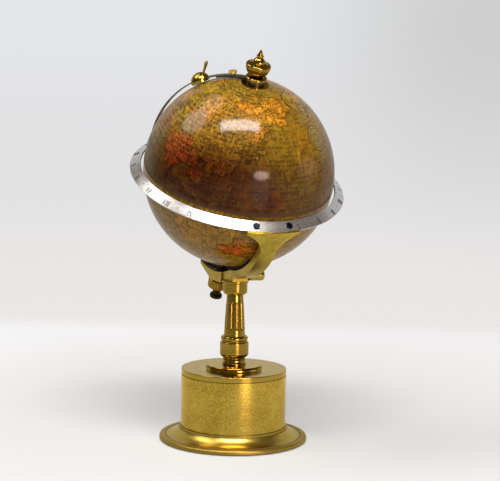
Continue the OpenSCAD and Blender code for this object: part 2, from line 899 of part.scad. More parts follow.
// short inner strip that ties the pointer arc to the pole
module arc_root() {
    color("DarkKhaki") on_arc() difference() {
        union() {
            bore(eye_r, root_low, root_low + strip_t);
            translate([0, -strip_w / 2, root_low]) cube([root_flat, strip_w, strip_t]);
            arc_strip(root_in, root_out, asin(root_flat / root_out), root_end);
        }
        bore(stud_r + snug, root_low - 1, arc_out + 1);
        rotate([0, arc_screw_a, 0]) bore(1 + snug, root_low - 1, arc_out + 1);
    }
}

// strip bent about the globe's centre, between two angles from the pole
module arc_strip(r_in, r_out, a0, a1) {
    far = 100;
    intersection() {
        rotate([90, 0, 0]) translate([0, 0, -strip_w / 2]) difference() {
            cylinder(r = r_out, h = strip_w, $fn = 180);
            translate([0, 0, -1]) cylinder(r = r_in, h = strip_w + 2, $fn = 180);
        }
        translate([0, strip_w, 0]) rotate([90, 0, 0]) linear_extrude(2 * strip_w)
            polygon([[0, 0], far * [sin(a0), cos(a0)],
                1.4 * far * [sin((a0 + a1) / 2), cos((a0 + a1) / 2)], far * [sin(a1), cos(a1)]]);
    }
}

// washer that keeps the two strips apart on the stud
module arc_spacer() {
    color("DarkKhaki") on_arc() tube(eye_r, stud_r + snug, root_low + strip_t, eye_low);
}

// long pointer arc over the globe, ending in a tip above the hour ring
module pointer_arc() {
    color("DarkKhaki") on_arc() difference() {
        union() {
            bore(eye_r, eye_low, arc_out);
            arc_strip(arc_in, arc_out, 0, arc_end);
        }
        bore(stud_r + snug, root_low - 1, arc_out + 1);
        rotate([0, arc_screw_a, 0]) bore(1 + snug, root_low - 1, arc_out + 1);
        for (side = [-1, 1]) rotate([0, arc_end, 0]) mirror([0, side < 0 ? 1 : 0, 0])
            translate([0, 0.2, arc_in - 1]) rotate([0, 0, -21]) cube([6, 6, strip_t + 2]);
    }
}

// small thumb screw that joins the two strips
module arc_screw() {
    color("Goldenrod") at_arc(arc_screw_a) {
        bore(1, root_in - 0.3, arc_out + 0.1);
        bore(1.45, arc_out + 0.02, arc_out + 1.3);
        knurled(2.8, arc_out + 1.1, arc_out + 2.7, 16, 0.3);
    }
}

// the way the strip takes through the slider, a little wider and thicker than it
module strip_way() {
    on_arc() rotate([90, 0, 0]) translate([0, 0, -strip_w / 2 - run]) difference() {
        cylinder(r = arc_out + run, h = strip_w + 2 * run, $fn = 180);
        translate([0, 0, -1]) cylinder(r = arc_in - run, h = strip_w + 2, $fn = 180);
    }
}

// lower half of the slider, between the arc and the globe
module slider_shoe() {
    color("DarkGoldenrod") difference() {
        at_arc(slider_a) turned(dome_r, slider_low, slider_split, 0.3, 0.1);
        strip_way();
    }
}

// domed upper half of the slider
module slider_dome() {
    ball = (dome_r * dome_r + dome_h * dome_h) / (2 * dome_h);
    color("DarkGoldenrod") difference() {
        at_arc(slider_a) difference() {
            translate([0, 0, slider_split + dome_h - ball]) sphere(r = ball);
            bore(20, 40, slider_split);
            lever_way(0.75 + snug, 0.75 + snug, 0, 8);
        }
        strip_way();
    }
}

// the lever's own line: up out of the slider's near side and over to the pole
module lever_way(r1, r2, from, to) {
    translate(lever_at) rotate([0, -lever_a, 0]) translate([0, 0, from])
        cylinder(r1 = r1, r2 = r2, h = to - from);
}

// little lever by which the slider is moved
module slider_lever() {
    color("DarkGoldenrod") at_arc(slider_a) {
        lever_way(0.75, 0.75, 0.2, 5);
        lever_way(0.75, 1.15, 4.9, lever_l);
        translate(lever_at) rotate([0, -lever_a, 0]) translate([0, 0, lever_l])
            sphere(r = 1.15);
    }
}

// urn finial that clamps the arc on the stud
module finial() {
    color("DarkGoldenrod") polar() difference() {
        union() {
            turned(7.2, finial_low, finial_low + 2, 0.4, 1);
            translate([0, 0, finial_low + 1.9]) cylinder(r1 = 5.2, r2 = urn_neck_r, h = 1.3);
            bore(urn_neck_r, finial_low + 1.9, urn_z - 5.8);
            intersection() {
                translate([0, 0, urn_z]) sphere(r = urn_r);
                bore(20, urn_z - 6.5, urn_z);
            }
            turned(urn_r, urn_z - 0.8, urn_z + 1.2, 0.3, 1);
            translate([0, 0, urn_z + 1.1]) cylinder(r1 = 6.6, r2 = 4.3, h = 0.8);
            intersection() {
                translate([0, 0, urn_z + 1.6]) sphere(r = 4.2);
                bore(20, urn_z + 1.6, urn_z + 12);
            }
            bore(1.7, urn_z + 4, urn_z + 6.2);
            turned(2.4, urn_z + 6, urn_z + 6.8, 0.3, 0.3);
            translate([0, 0, urn_z + 6.7]) cylinder(r1 = 2.1, r2 = 0.5, h = 3.8);
            translate([0, 0, urn_z + 10.4]) sphere(r = 0.5);
        }
        bore(stud_r + run, finial_low - 1, stud_top + 0.4);
    }
}

baize_pad();
foot_plate();
ballast();
ballast_screws();
drum();
drum_lid();
lid_disc();
column_knop();
column_shaft();
column_head();
tie_rod();
tie_rod_nut();
cradle();
pivot_arm();
clamp_bolt();
hour_ring();
ring_screws();
lower_axle();
pole_plate();
pole_nut();
winding_rod();
winding_knob();
lower_plate();
upper_plate();
plate_pillars();
upper_axle();
mainspring_barrel();
barrel_arbor();
winding_wheel();
ratchet_wheel();
winding_click();
click_screw();
centre_wheel();
intermediate_wheel();
intermediate_bridge();
escapement_case();
balance_wheel();
balance_cock();
day_wheel();
globe_north();
globe_south();
south_bush();
north_cap();
arc_root();
arc_spacer();
pointer_arc();
arc_screw();
slider_shoe();
slider_dome();
slider_lever();
finial();
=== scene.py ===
import math

import bmesh
import bpy
from mathutils import Matrix, Vector


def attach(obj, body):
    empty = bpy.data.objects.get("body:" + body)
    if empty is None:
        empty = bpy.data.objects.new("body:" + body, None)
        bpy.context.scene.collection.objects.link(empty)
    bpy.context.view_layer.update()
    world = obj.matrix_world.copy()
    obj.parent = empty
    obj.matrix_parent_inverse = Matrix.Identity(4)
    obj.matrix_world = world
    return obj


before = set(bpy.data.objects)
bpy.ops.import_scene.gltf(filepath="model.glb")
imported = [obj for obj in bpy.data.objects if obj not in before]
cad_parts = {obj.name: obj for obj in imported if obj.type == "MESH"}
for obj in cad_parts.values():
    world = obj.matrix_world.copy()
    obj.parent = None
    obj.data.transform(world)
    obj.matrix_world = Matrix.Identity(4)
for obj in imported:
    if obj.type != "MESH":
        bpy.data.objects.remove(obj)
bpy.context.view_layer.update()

# The baize pad is let into the underside of the foot. It is green woollen cloth with a raised,
# slightly matted nap, glued down so that the heavy foot doesn't mark a table.
MM = 0.001


def put(tree, kind, inputs=None, **settings):
    """A shader node; inputs gives its sockets, by name or number, values or other nodes' sockets."""
    made = tree.nodes.new("ShaderNode" + kind)
    for name, value in settings.items():
        setattr(made, name, value)
    for key, value in (inputs or {}).items():
        if isinstance(value, bpy.types.NodeSocket):
            tree.links.new(value, made.inputs[key])
        else:
            made.inputs[key].default_value = value
    return made


def between(tree, value, start, end, low=0.0, high=1.0):
    """value run smoothly from low to high as it goes from start to end."""
    inputs = {0: value, 1: start, 2: end, 3: low, 4: high}
    return put(tree, "MapRange", inputs, interpolation_type="SMOOTHSTEP").outputs[0]


def mixed(tree, amount, under, over, blend="MIX"):
    """The colour over laid on the colour under."""
    made = put(tree, "Mix", {0: amount, 6: under, 7: over}, data_type="RGBA", blend_type=blend)
    return made.outputs[2]


def noise(tree, place, scale, detail=4.0, roughness=0.55, output="Fac", distortion=0.0):
    """Cloudy noise, scale times a metre."""
    inputs = {"Vector": place, "Scale": scale, "Detail": detail, "Roughness": roughness,
              "Distortion": distortion}
    return put(tree, "TexNoise", inputs).outputs[output]


def place_in(tree, piece_frame=Matrix()):
    """Object coordinates, turned into the piece's own frame."""
    seen = put(tree, "TexCoord").outputs["Object"]
    to_piece = piece_frame.inverted()
    inputs = {"Vector": seen, "Location": to_piece.translation, "Rotation": to_piece.to_euler()}
    return put(tree, "Mapping", inputs).outputs[0]


def new_finish(name):
    """A new material, its node tree and its Principled shader."""
    finish = bpy.data.materials.new(name)
    finish.use_nodes = True
    return finish, finish.node_tree, finish.node_tree.nodes["Principled BSDF"]


def feed(tree, shader, **sources):
    """Links colour, value or normal outputs to the shader's sockets, named with underscores for spaces."""
    for name, source in sources.items():
        tree.links.new(source, shader.inputs[name.replace("_", " ")])


def bump(tree, height, depth, strength=1.0):
    """A normal from a height, depth metres deep."""
    inputs = {"Height": height, "Distance": depth, "Strength": strength}
    return put(tree, "Bump", inputs).outputs[0]


def dress(finish, *names):
    """Gives CAD nodes a finish."""
    for name in names:
        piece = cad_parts[name]
        if not piece.data.materials:
            piece.data.materials.append(finish)
        for material_slot in piece.material_slots:
            material_slot.material = finish


def baize_finish():
    """Green cloth with a matted nap."""
    finish, tree, shader = new_finish("green_baize")
    place = place_in(tree)
    nap = noise(tree, place, 2600, detail=3)
    matted = noise(tree, place, 90, detail=4)
    worn = mixed(tree, between(tree, matted, 0.35, 0.7), (0.018, 0.075, 0.032, 1), (0.035, 0.11, 0.05, 1))
    fibres = mixed(tree, between(tree, nap, 0.3, 0.75), worn, (0.07, 0.17, 0.08, 1))
    feed(tree, shader, Base_Color=fibres, Normal=bump(tree, nap, 0.25 * MM, 0.6))
    shader.inputs["Roughness"].default_value = 0.95
    shader.inputs["Sheen Weight"].default_value = 0.4
    return finish


dress(baize_finish(), "baize_pad")

# The foot is a heavy brass casting, turned all over: a rounded rim, a step and a hollow skirt.
# It is polished, and has gone a little dull and speckled since. The corner at the step is painted
# dark as shade, and the rim beyond it is duller.
FOOT_BRIGHT = (0.47, 0.335, 0.066)
FOOT_DULL = (0.30, 0.20, 0.035)
BRASS_EDGE = (0.97, 0.87, 0.66, 1)
# The colour of painted shade in corners and at the foot's step.
CORNER_SHADE_COLOUR = (0.05, 0.028, 0.008, 1)
RIM_COLOUR = (0.16, 0.10, 0.018, 1)
STEP_RADIUS = 45.6 * MM
STEP_HEIGHT = 3.6 * MM


def maths(tree, operation, *values, clamp=False):
    """One sum on numbers."""
    return put(tree, "Math", dict(enumerate(values)), operation=operation, use_clamp=clamp).outputs[0]


def times(tree, number, other):
    """The product of two numbers."""
    return maths(tree, "MULTIPLY", number, other)


def vector_maths(tree, operation, *values, output="Vector"):
    """One sum on vectors."""
    return put(tree, "VectorMath", dict(enumerate(values)), operation=operation).outputs[output]


def out_from_axis(tree, apart):
    """How far a place, taken apart into its three numbers, is from the z axis."""
    squares = [times(tree, number, number) for number in (apart[0], apart[1])]
    return maths(tree, "SQRT", maths(tree, "ADD", *squares))


def shader_group(name, takes, gives):
    """A node group with its sockets: the tree, what it takes and where its results go."""
    tree = bpy.data.node_groups.new(name, "ShaderNodeTree")
    for label, (kind, value) in takes.items():
        socket = tree.interface.new_socket(label, in_out="INPUT", socket_type="NodeSocket" + kind)
        if value is not None:
            socket.default_value = value
    for label, kind in gives.items():
        tree.interface.new_socket(label, in_out="OUTPUT", socket_type="NodeSocket" + kind)
    taken = tree.nodes.new("NodeGroupInput").outputs
    given = tree.nodes.new("NodeGroupOutput").inputs
    return tree, taken, given


def use_group(tree, group, inputs):
    """Places a node group in a tree."""
    made = put(tree, "Group", node_tree=group)
    for key, value in inputs.items():
        if isinstance(value, bpy.types.NodeSocket):
            tree.links.new(value, made.inputs[key])
        else:
            made.inputs[key].default_value = value
    return made.outputs


def make_turning_lines():
    """Fine rings left by the tool, round the z axis of the place that it is given."""
    takes = {"Place": ("Vector", None), "Lines per metre": ("Float", 5000.0)}
    tree, taken, given = shader_group("turning_lines", takes, {"Height": "Float", "Shade": "Float"})
    apart = put(tree, "SeparateXYZ", {0: taken["Place"]}).outputs
    drift = times(tree, noise(tree, taken["Place"], 40, detail=1), 0.4 * MM)
    out = maths(tree, "ADD", out_from_axis(tree, apart), drift)
    profile = put(tree, "CombineXYZ", {0: out, 1: apart[2]}).outputs[0]
    fine = put(tree, "TexNoise", {"Vector": profile, "Scale": taken["Lines per metre"], "Detail": 3.0})
    broad = noise(tree, profile, 420, detail=2)
    tree.links.new(fine.outputs["Fac"], given["Height"])
    tree.links.new(maths(tree, "ADD", times(tree, fine.outputs["Fac"], 0.4),
                         times(tree, broad, 0.6)), given["Shade"])
    return tree


def make_tarnish():
    """Brass that has dulled in spots and clouds, with painted shade in its corners."""
    takes = {"Place": ("Vector", None), "Bright": ("Color", (0.7, 0.5, 0.2, 1)),
             "Dull": ("Color", (0.3, 0.2, 0.07, 1)), "Spots per metre": ("Float", 900.0),
             "Cover": ("Float", 0.4), "Edge": ("Float", 0.11), "Clouds": ("Float", 0.4),
             "Corner shade": ("Float", 0.6)}
    tree, taken, given = shader_group("tarnish", takes, {"Color": "Color", "Dulled": "Float"})
    spots = put(tree, "TexNoise", {"Vector": taken["Place"], "Scale": taken["Spots per metre"],
                                   "Detail": 6.0, "Roughness": 0.65}).outputs["Fac"]
    clouds = noise(tree, taken["Place"], 60, detail=5, roughness=0.6, distortion=0.4)
    both = put(tree, "Mix", {0: taken["Clouds"], 2: spots, 3: clouds}).outputs[0]
    line = maths(tree, "SUBTRACT", 0.72, times(tree, taken["Cover"], 0.4))
    dulled = between(tree, both, maths(tree, "SUBTRACT", line, taken["Edge"]),
                     maths(tree, "ADD", line, taken["Edge"]))
    colour = mixed(tree, dulled, taken["Bright"], taken["Dull"])
    # Painted shade: the colour darkens where ambient occlusion finds a corner.
    corner = put(tree, "AmbientOcclusion", {"Distance": 2.5 * MM}, samples=6).outputs["AO"]
    corner_shade_mask = times(tree, between(tree, corner, 0.75, 0.25), taken["Corner shade"])
    tree.links.new(mixed(tree, corner_shade_mask, colour, CORNER_SHADE_COLOUR), given["Color"])
    tree.links.new(maths(tree, "MAXIMUM", dulled, corner_shade_mask), given["Dulled"])
    return tree


turning_lines = make_turning_lines()
tarnish = make_tarnish()


def brass(name, bright, dull, clean_rough, dull_rough, depth, cover=0.35, spots=900, lines=5000.0,
          piece_frame=Matrix(), corner_shade=0.6, shading=0.12, edge=0.11, clouds=0.4):
    """A brass finish: its two colours, roughness where clean and where dull, spots and turning lines.
    Seen at a slant it stays yellow, because its edge is tinted."""
    finish, tree, shader = new_finish(name)
    place = place_in(tree, piece_frame)
    aged = use_group(tree, tarnish, {"Place": place, "Bright": (*bright, 1), "Dull": (*dull, 1),
                                     "Cover": cover, "Spots per metre": spots, "Corner shade": corner_shade,
                                     "Edge": edge, "Clouds": clouds})
    turned = use_group(tree, turning_lines, {"Place": place, "Lines per metre": lines})
    shade = between(tree, turned["Shade"], 0.3, 0.7, 1 - shading, 1 + shading)
    grey = put(tree, "CombineXYZ", {0: shade, 1: shade, 2: shade}).outputs[0]
    rough = between(tree, aged["Dulled"], 0.0, 1.0, clean_rough, dull_rough)
    feed(tree, shader, Base_Color=mixed(tree, 1.0, aged["Color"], grey, "MULTIPLY"), Roughness=rough,
         Normal=bump(tree, turned["Height"], depth))
    shader.inputs["Metallic"].default_value = 1.0
    shader.inputs["Specular Tint"].default_value = BRASS_EDGE
    return finish


def paint_step_shade(finish):
    """Painted shade in the corner where the rim meets the step, and a duller rim beyond it."""
    tree = finish.node_tree
    shader = tree.nodes["Principled BSDF"]
    apart = put(tree, "SeparateXYZ", {0: place_in(tree)}).outputs
    out = out_from_axis(tree, apart)
    across = maths(tree, "ABSOLUTE", maths(tree, "SUBTRACT", out, STEP_RADIUS))
    above = maths(tree, "ABSOLUTE", maths(tree, "SUBTRACT", apart[2], STEP_HEIGHT))
    # Painted shade in the corner at the step.
    corner = times(tree, between(tree, across, 0.9 * MM, 0.45 * MM),
                   between(tree, above, 1.4 * MM, 0.7 * MM))
    rim = between(tree, out, STEP_RADIUS, STEP_RADIUS + 1.5 * MM)
    colour = shader.inputs["Base Color"].links[0].from_socket
    colour = mixed(tree, times(tree, rim, 0.4), colour, RIM_COLOUR)
    colour = mixed(tree, times(tree, corner, 0.85), colour, CORNER_SHADE_COLOUR)
    rough = shader.inputs["Roughness"].links[0].from_socket
    rough = maths(tree, "ADD", rough, times(tree, rim, 0.14))
    rough = maths(tree, "ADD", rough, times(tree, corner, 0.4))
    feed(tree, shader, Base_Color=colour, Roughness=rough,
         Metallic=maths(tree, "SUBTRACT", 1.0, corner))


foot_brass = brass("foot_brass", FOOT_BRIGHT, FOOT_DULL, clean_rough=0.28, dull_rough=0.38,
                   depth=0.014 * MM, cover=0.4, spots=1500, corner_shade=2.2, edge=0.18)
paint_step_shade(foot_brass)
dress(foot_brass, "foot_plate")

# The ballast is a plain grey iron casting, turned to slip into the drum and held to the foot
# by three steel screws. The steel tie rod through the column pulls the whole stand together.


def iron_finish():
    """Cast iron with a sandy skin."""
    finish, tree, shader = new_finish("cast_iron")
    place = place_in(tree)
    sand = noise(tree, place, 1400, detail=5)
    stain = noise(tree, place, 70, detail=4)
    grey = mixed(tree, between(tree, stain, 0.35, 0.7), (0.06, 0.06, 0.062, 1), (0.11, 0.085, 0.06, 1))
    feed(tree, shader, Base_Color=grey, Roughness=between(tree, sand, 0.2, 0.8, 0.55, 0.8),
         Normal=bump(tree, sand, 0.12 * MM, 0.7))
    shader.inputs["Metallic"].default_value = 0.6
    return finish


def steel_finish(name, bright, dull, piece_frame=Matrix()):
    """Turned steel, with light staining."""
    finish, tree, shader = new_finish(name)
    place = place_in(tree, piece_frame)
    turned = use_group(tree, turning_lines, {"Place": place, "Lines per metre": 6000.0})
    stain = between(tree, noise(tree, place, 240, detail=5), 0.4, 0.75)
    rough = between(tree, stain, 0.0, 1.0, 0.22, 0.42)
    feed(tree, shader, Base_Color=mixed(tree, stain, (*bright, 1), (*dull, 1)), Roughness=rough,
         Normal=bump(tree, turned["Height"], 0.004 * MM))
    shader.inputs["Metallic"].default_value = 1.0
    return finish


STEEL = (0.52, 0.52, 0.53)
STAINED_STEEL = (0.26, 0.24, 0.21)
dress(iron_finish(), "ballast")
dress(steel_finish("stand_steel", STEEL, STAINED_STEEL), "ballast_screws", "tie_rod", "tie_rod_nut")

# The drum is a length of brass tube between foot and lid. It has been left to age: a satin skin,
# speckled all over with fine darker and lighter spots.
DRUM_BRIGHT = (0.56, 0.39, 0.063)
DRUM_DULL = (0.38, 0.245, 0.03)
drum_brass = brass("drum_brass", DRUM_BRIGHT, DRUM_DULL, clean_rough=0.16, dull_rough=0.24,
                   depth=0.05 * MM, cover=0.52, spots=1050, lines=3600.0, corner_shade=1.5, shading=0.0,
                   edge=0.07, clouds=0.3)
dress(drum_brass, "drum")

# The lid and the disc on it are turned flat and polished, so they mirror the column and the room.
LID_BRIGHT = (0.37, 0.25, 0.04)
lid_brass = brass("lid_brass", LID_BRIGHT, FOOT_DULL, clean_rough=0.16, dull_rough=0.26,
                  depth=0.004 * MM, cover=0.3)
dress(lid_brass, "drum_lid", "lid_disc")

# The column is turned in three lengths, polished, and its shaft is milled with twelve flutes.
COLUMN_BRIGHT = (0.30, 0.195, 0.032)
COLUMN_DULL = (0.18, 0.108, 0.014)
column_brass = brass("column_brass", COLUMN_BRIGHT, COLUMN_DULL, clean_rough=0.16, dull_rough=0.26,
                     depth=0.02 * MM)
dress(column_brass, "column_knop", "column_shaft", "column_head")

# The cradle is a brass casting, filed and rubbed to a satin skin, and darker towards its foot. It
# carries the ring on its tab and the polar axle on the arm behind, and a cross bolt pins it to the
# column. Its faces towards the globe are painted black as the shade under the globe.
SATIN_BRIGHT = (0.53, 0.385, 0.06)
SATIN_DULL = (0.34, 0.24, 0.034)
DARKENING_STARTS = 134 * MM
DARKENING_FULL = 120 * MM
BOLT_HEIGHT = 111.3 * MM
globe_centre = Vector((0, -3, 181.5)) * MM


def satin_finish(name, bright, dull, piece_frame=Matrix(), shade_towards=None):
    """Brass rubbed with fine emery, which leaves short scratches one way. The faces that look
    towards a point can be painted black as shade, and the brass is darker low down."""
    finish, tree, shader = new_finish(name)
    place = place_in(tree, piece_frame)
    aged = use_group(tree, tarnish, {"Place": place, "Bright": (*bright, 1), "Dull": (*dull, 1),
                                     "Cover": 0.42, "Spots per metre": 420.0, "Corner shade": 0.7})
    combed = put(tree, "Mapping", {"Vector": place, "Scale": (3000.0, 260.0, 260.0)}).outputs[0]
    scratches = noise(tree, combed, 1.0, detail=3)
    rough = between(tree, aged["Dulled"], 0.0, 1.0, 0.3, 0.42)
    colour = aged["Color"]
    if shade_towards is not None:
        seen = put(tree, "TexCoord").outputs
        inward = vector_maths(tree, "SUBTRACT", shade_towards, seen["Object"])
        inward = vector_maths(tree, "NORMALIZE", inward)
        facing = vector_maths(tree, "DOT_PRODUCT", inward, seen["Normal"], output="Value")
        # Painted shade: faces that look towards the point go black.
        black = between(tree, facing, 0.3, 0.5)
        colour = mixed(tree, black, colour, (0.02, 0.01, 0.004, 1))
        # Darker towards the foot, below a set height.
        height = put(tree, "SeparateXYZ", {0: seen["Object"]}).outputs[2]
        darker_low = between(tree, height, DARKENING_STARTS, DARKENING_FULL, 0.0, 0.35)
        colour = mixed(tree, darker_low, colour, (0.10, 0.06, 0.012, 1))
        rough = maths(tree, "ADD", rough, times(tree, black, 0.3))
    feed(tree, shader, Base_Color=colour, Roughness=rough, Normal=bump(tree, scratches, 0.006 * MM))
    shader.inputs["Metallic"].default_value = 1.0
    shader.inputs["Specular Tint"].default_value = BRASS_EDGE
    return finish


satin_brass = satin_finish("satin_brass", SATIN_BRIGHT, SATIN_DULL, shade_towards=globe_centre)
dress(satin_brass, "cradle", "pivot_arm")
bolt_frame = Matrix.Translation((0, 0, BOLT_HEIGHT)) @ Matrix.Rotation(math.radians(90), 4, "Y")
bolt_brass = brass("bolt_brass", FOOT_BRIGHT, FOOT_DULL, clean_rough=0.18, dull_rough=0.3,
                   depth=0.002 * MM, cover=0.3, spots=800, piece_frame=bolt_frame)
dress(bolt_brass, "clamp_bolt")

# The hour ring is a flat conical band of brass, silvered: rubbed with silver salts and left with
# a fine grain that runs round it. Two blued screws hold it to the tab.
TILT = math.radians(23.5)
polar_frame = Matrix.Translation(globe_centre) @ Matrix.Rotation(TILT, 4, "X")


def silvered_finish():
    """Silvered brass, grained round the axis, yellowed where the silvering is thin."""
    finish, tree, shader = new_finish("silvered_brass")
    place = place_in(tree, polar_frame)
    turned = use_group(tree, turning_lines, {"Place": place, "Lines per metre": 5200.0})
    thin = between(tree, noise(tree, place, 130, detail=6, roughness=0.65), 0.5, 0.78)
    specks = between(tree, noise(tree, place, 1500, detail=4), 0.6, 0.78)
    silver = mixed(tree, thin, (0.48, 0.47, 0.455, 1), (0.38, 0.345, 0.295, 1))
    silver = mixed(tree, times(tree, specks, 0.5), silver, (0.25, 0.22, 0.2, 1))
    rough = between(tree, turned["Shade"], 0.2, 0.8, 0.21, 0.29)
    feed(tree, shader, Base_Color=silver, Roughness=rough,
         Normal=bump(tree, turned["Height"], 0.008 * MM))
    shader.inputs["Metallic"].default_value = 0.9
    return finish


dress(silvered_finish(), "hour_ring")
dress(steel_finish("blued_steel", (0.02, 0.022, 0.04), (0.012, 0.01, 0.012), polar_frame), "ring_screws")

# The hours are cut into the ring and filled with black wax, which has worn thin in places: two
# rounds of twelve Roman numerals, a mark at each half hour, and a dot at each quarter. The place
# between the two screws is bare.
RING_IN = Vector((65.6, -1.95)) * MM
RING_OUT = Vector((72.0, -5.9)) * MM
RING_TURN = -0.9
NUMERAL_HEIGHT = 3.7 * MM
NUMERAL_LOW = -3.1 * MM
THICK_STROKE = 0.56 * MM
THIN_STROKE = 0.28 * MM
SERIF = 0.95 * MM
SERIF_HEIGHT = 0.14 * MM
STROKE_RISE = 0.03 * MM
STROKE_DEEP = 0.07 * MM
LETTER_WIDTH = {"I": 1.05 * MM, "V": 2.3 * MM, "X": 2.4 * MM}
LETTER_SPACE = 0.7 * MM
HOUR_TICK = ((0, 1.75 * MM), (0, 2.75 * MM), 0.3 * MM)
HALF_HOUR_MARK = ((0, -1.6 * MM), (0, 0.2 * MM), 0.24 * MM)
QUARTER_DOT = ((-0.22 * MM, 2.25 * MM), (0.22 * MM, 2.25 * MM), 0.44 * MM)
QUARTERS_ROUND = 96
HOURS = ["XII", "I", "II", "III", "IIII", "V", "VI", "VII", "VIII", "IX", "X", "XI"]
ring_way = (RING_IN - RING_OUT).normalized()
ring_middle = (RING_IN + RING_OUT) / 2


def ring_place(degrees):
    """The frame on the ring's face: x along the ring, y up towards the globe, z out of the face."""
    bearing = math.radians(-90 + RING_TURN + degrees)
    out = Vector((math.cos(bearing), math.sin(bearing), 0))
    along = Vector((-math.sin(bearing), math.cos(bearing), 0))
    up = out * ring_way.x + Vector((0, 0, ring_way.y))
    face = along.cross(up)
    origin = out * ring_middle.x + Vector((0, 0, ring_middle.y))
    local = Matrix((along, up, face)).transposed().to_4x4()
    local.translation = origin
    return polar_frame @ local


def stroke(mesh, place, start, end, width):
    """One filled cut on the ring's face between two points."""
    along = Vector(end) - Vector(start)
    turn = Matrix.Rotation(math.atan2(along.y, along.x), 4, "Z")
    middle = (Vector(start) + Vector(end)) / 2
    size = Matrix.Diagonal((along.length, width, STROKE_RISE + STROKE_DEEP, 1))
    lift = (STROKE_RISE - STROKE_DEEP) / 2
    at = Matrix.Translation((middle.x, middle.y, lift))
    bmesh.ops.create_cube(mesh, size=1.0, matrix=place @ at @ turn @ size)


def numeral(mesh, place, letters):
    """A Roman numeral, its feet towards the ring's lower edge."""
    low, high = NUMERAL_LOW, NUMERAL_LOW + NUMERAL_HEIGHT
    left = -sum(LETTER_WIDTH[letter] for letter in letters) / 2
    for letter in letters:
        width = LETTER_WIDTH[letter]
        middle = left + width / 2
        reach = (width - LETTER_SPACE) / 2
        feet = []
        if letter == "I":
            stroke(mesh, place, (middle, low), (middle, high), THICK_STROKE)
            feet = [(middle, low), (middle, high)]
        if letter == "V":
            stroke(mesh, place, (middle - reach, high), (middle, low), THICK_STROKE)
            stroke(mesh, place, (middle, low), (middle + reach, high), THIN_STROKE)
            feet = [(middle - reach, high), (middle + reach, high)]
        if letter == "X":
            stroke(mesh, place, (middle - reach, high), (middle + reach, low), THICK_STROKE)
            stroke(mesh, place, (middle - reach, low), (middle + reach, high), THIN_STROKE)
            feet = [(middle + side * reach, end) for side in (-1, 1) for end in (low, high)]
        for across, level in feet:
            start, end = (across - SERIF / 2, level), (across + SERIF / 2, level)
            stroke(mesh, place, start, end, SERIF_HEIGHT)
        left += width


def cut_hours():
    """The mesh of all the cuts on the ring; the first place, between the screws, gets none."""
    mesh = bmesh.new()
    for quarter in range(1, QUARTERS_ROUND):
        place = ring_place(quarter * 360 / QUARTERS_ROUND)
        if quarter % 4 == 0:
            numeral(mesh, place, HOURS[quarter // 4 % 12])
            stroke(mesh, place, *HOUR_TICK)
        elif quarter % 4 == 2:
            stroke(mesh, place, *HALF_HOUR_MARK)
            stroke(mesh, place, *HOUR_TICK)
        else:
            stroke(mesh, place, *QUARTER_DOT)
    return mesh


def as_piece(name, mesh, finish):
    """Makes an object of a mesh and gives it a finish."""
    data = bpy.data.meshes.new(name)
    mesh.to_mesh(data)
    mesh.free()
    data.materials.append(finish)
    piece = bpy.data.objects.new(name, data)
    bpy.context.scene.collection.objects.link(piece)
    return piece


def wax_finish():
    """Black wax, worn through to the silver in patches."""
    finish, tree, shader = new_finish("engraving_wax")
    place = place_in(tree, polar_frame)
    worn = between(tree, noise(tree, place, 260, detail=5, roughness=0.7), 0.58, 0.74)
    feed(tree, shader, Base_Color=mixed(tree, worn, (0.018, 0.016, 0.015, 1), (0.42, 0.4, 0.38, 1)),
         Roughness=between(tree, worn, 0.0, 1.0, 0.85, 0.5))
    shader.inputs["Specular IOR Level"].default_value = 0.1
    return finish


scale_piece = as_piece("hour_scale", cut_hours(), wax_finish())
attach(scale_piece, "stand")

# The lower axle, the nut under the arm and the little winding knob stand on the polar axis. The
# axle and the rod in it are steel, the nut is knurled brass, and the knob and the plate on the
# axle's collar are blackened.
polar_brass = brass("polar_brass", COLUMN_BRIGHT, COLUMN_DULL, clean_rough=0.2, dull_rough=0.34,
                    depth=0.004 * MM, cover=0.4, spots=800, piece_frame=polar_frame)
dress(polar_brass, "pole_nut", "south_bush", "north_cap")
black_brass = brass("blackened_brass", (0.07, 0.045, 0.02), (0.025, 0.016, 0.01), clean_rough=0.3,
                    dull_rough=0.5, depth=0.002 * MM, cover=0.6, piece_frame=polar_frame)
dress(black_brass, "winding_knob", "pole_plate")
dress(steel_finish("movement_steel", STEEL, STAINED_STEEL, polar_frame), "lower_axle", "upper_axle",
      "winding_rod", "barrel_arbor", "ratchet_wheel", "winding_click", "click_screw")

# A washer of black felt lies under the blackened plate on the axle's collar. It catches stray oil
# from the bush, and has sagged a little at its edge.
# The washer is a real part, and its black also paints shade under the globe.
FELT_IN = 7.4 * MM
FELT_OUT = 12.4 * MM
FELT_TOP = -67.5 * MM
FELT_THICK = 1.5 * MM
FELT_SAG = 0.35 * MM
FELT_ROWS = 5


def spin_washer():
    """The mesh of a flat ring, spun from a profile whose outer end hangs lower."""
    mesh = bmesh.new()
    profile = []
    for row in range(FELT_ROWS + 1):
        part = row / FELT_ROWS
        profile.append((FELT_IN + (FELT_OUT - FELT_IN) * part, FELT_TOP - FELT_SAG * part * part))
    points = [mesh.verts.new((out, 0, level)) for out, level in profile]
    points += [mesh.verts.new((out, 0, level - FELT_THICK)) for out, level in reversed(profile)]
    edges = [mesh.edges.new((points[i], points[(i + 1) % len(points)])) for i in range(len(points))]
    bmesh.ops.spin(mesh, geom=[*points, *edges], cent=(0, 0, 0), axis=(0, 0, 1), angle=math.tau,
                   steps=64, use_merge=True)
    bmesh.ops.remove_doubles(mesh, verts=mesh.verts, dist=0.001 * MM)
    bmesh.ops.recalc_face_normals(mesh, faces=mesh.faces)
    bmesh.ops.transform(mesh, matrix=polar_frame, verts=mesh.verts)
    return mesh


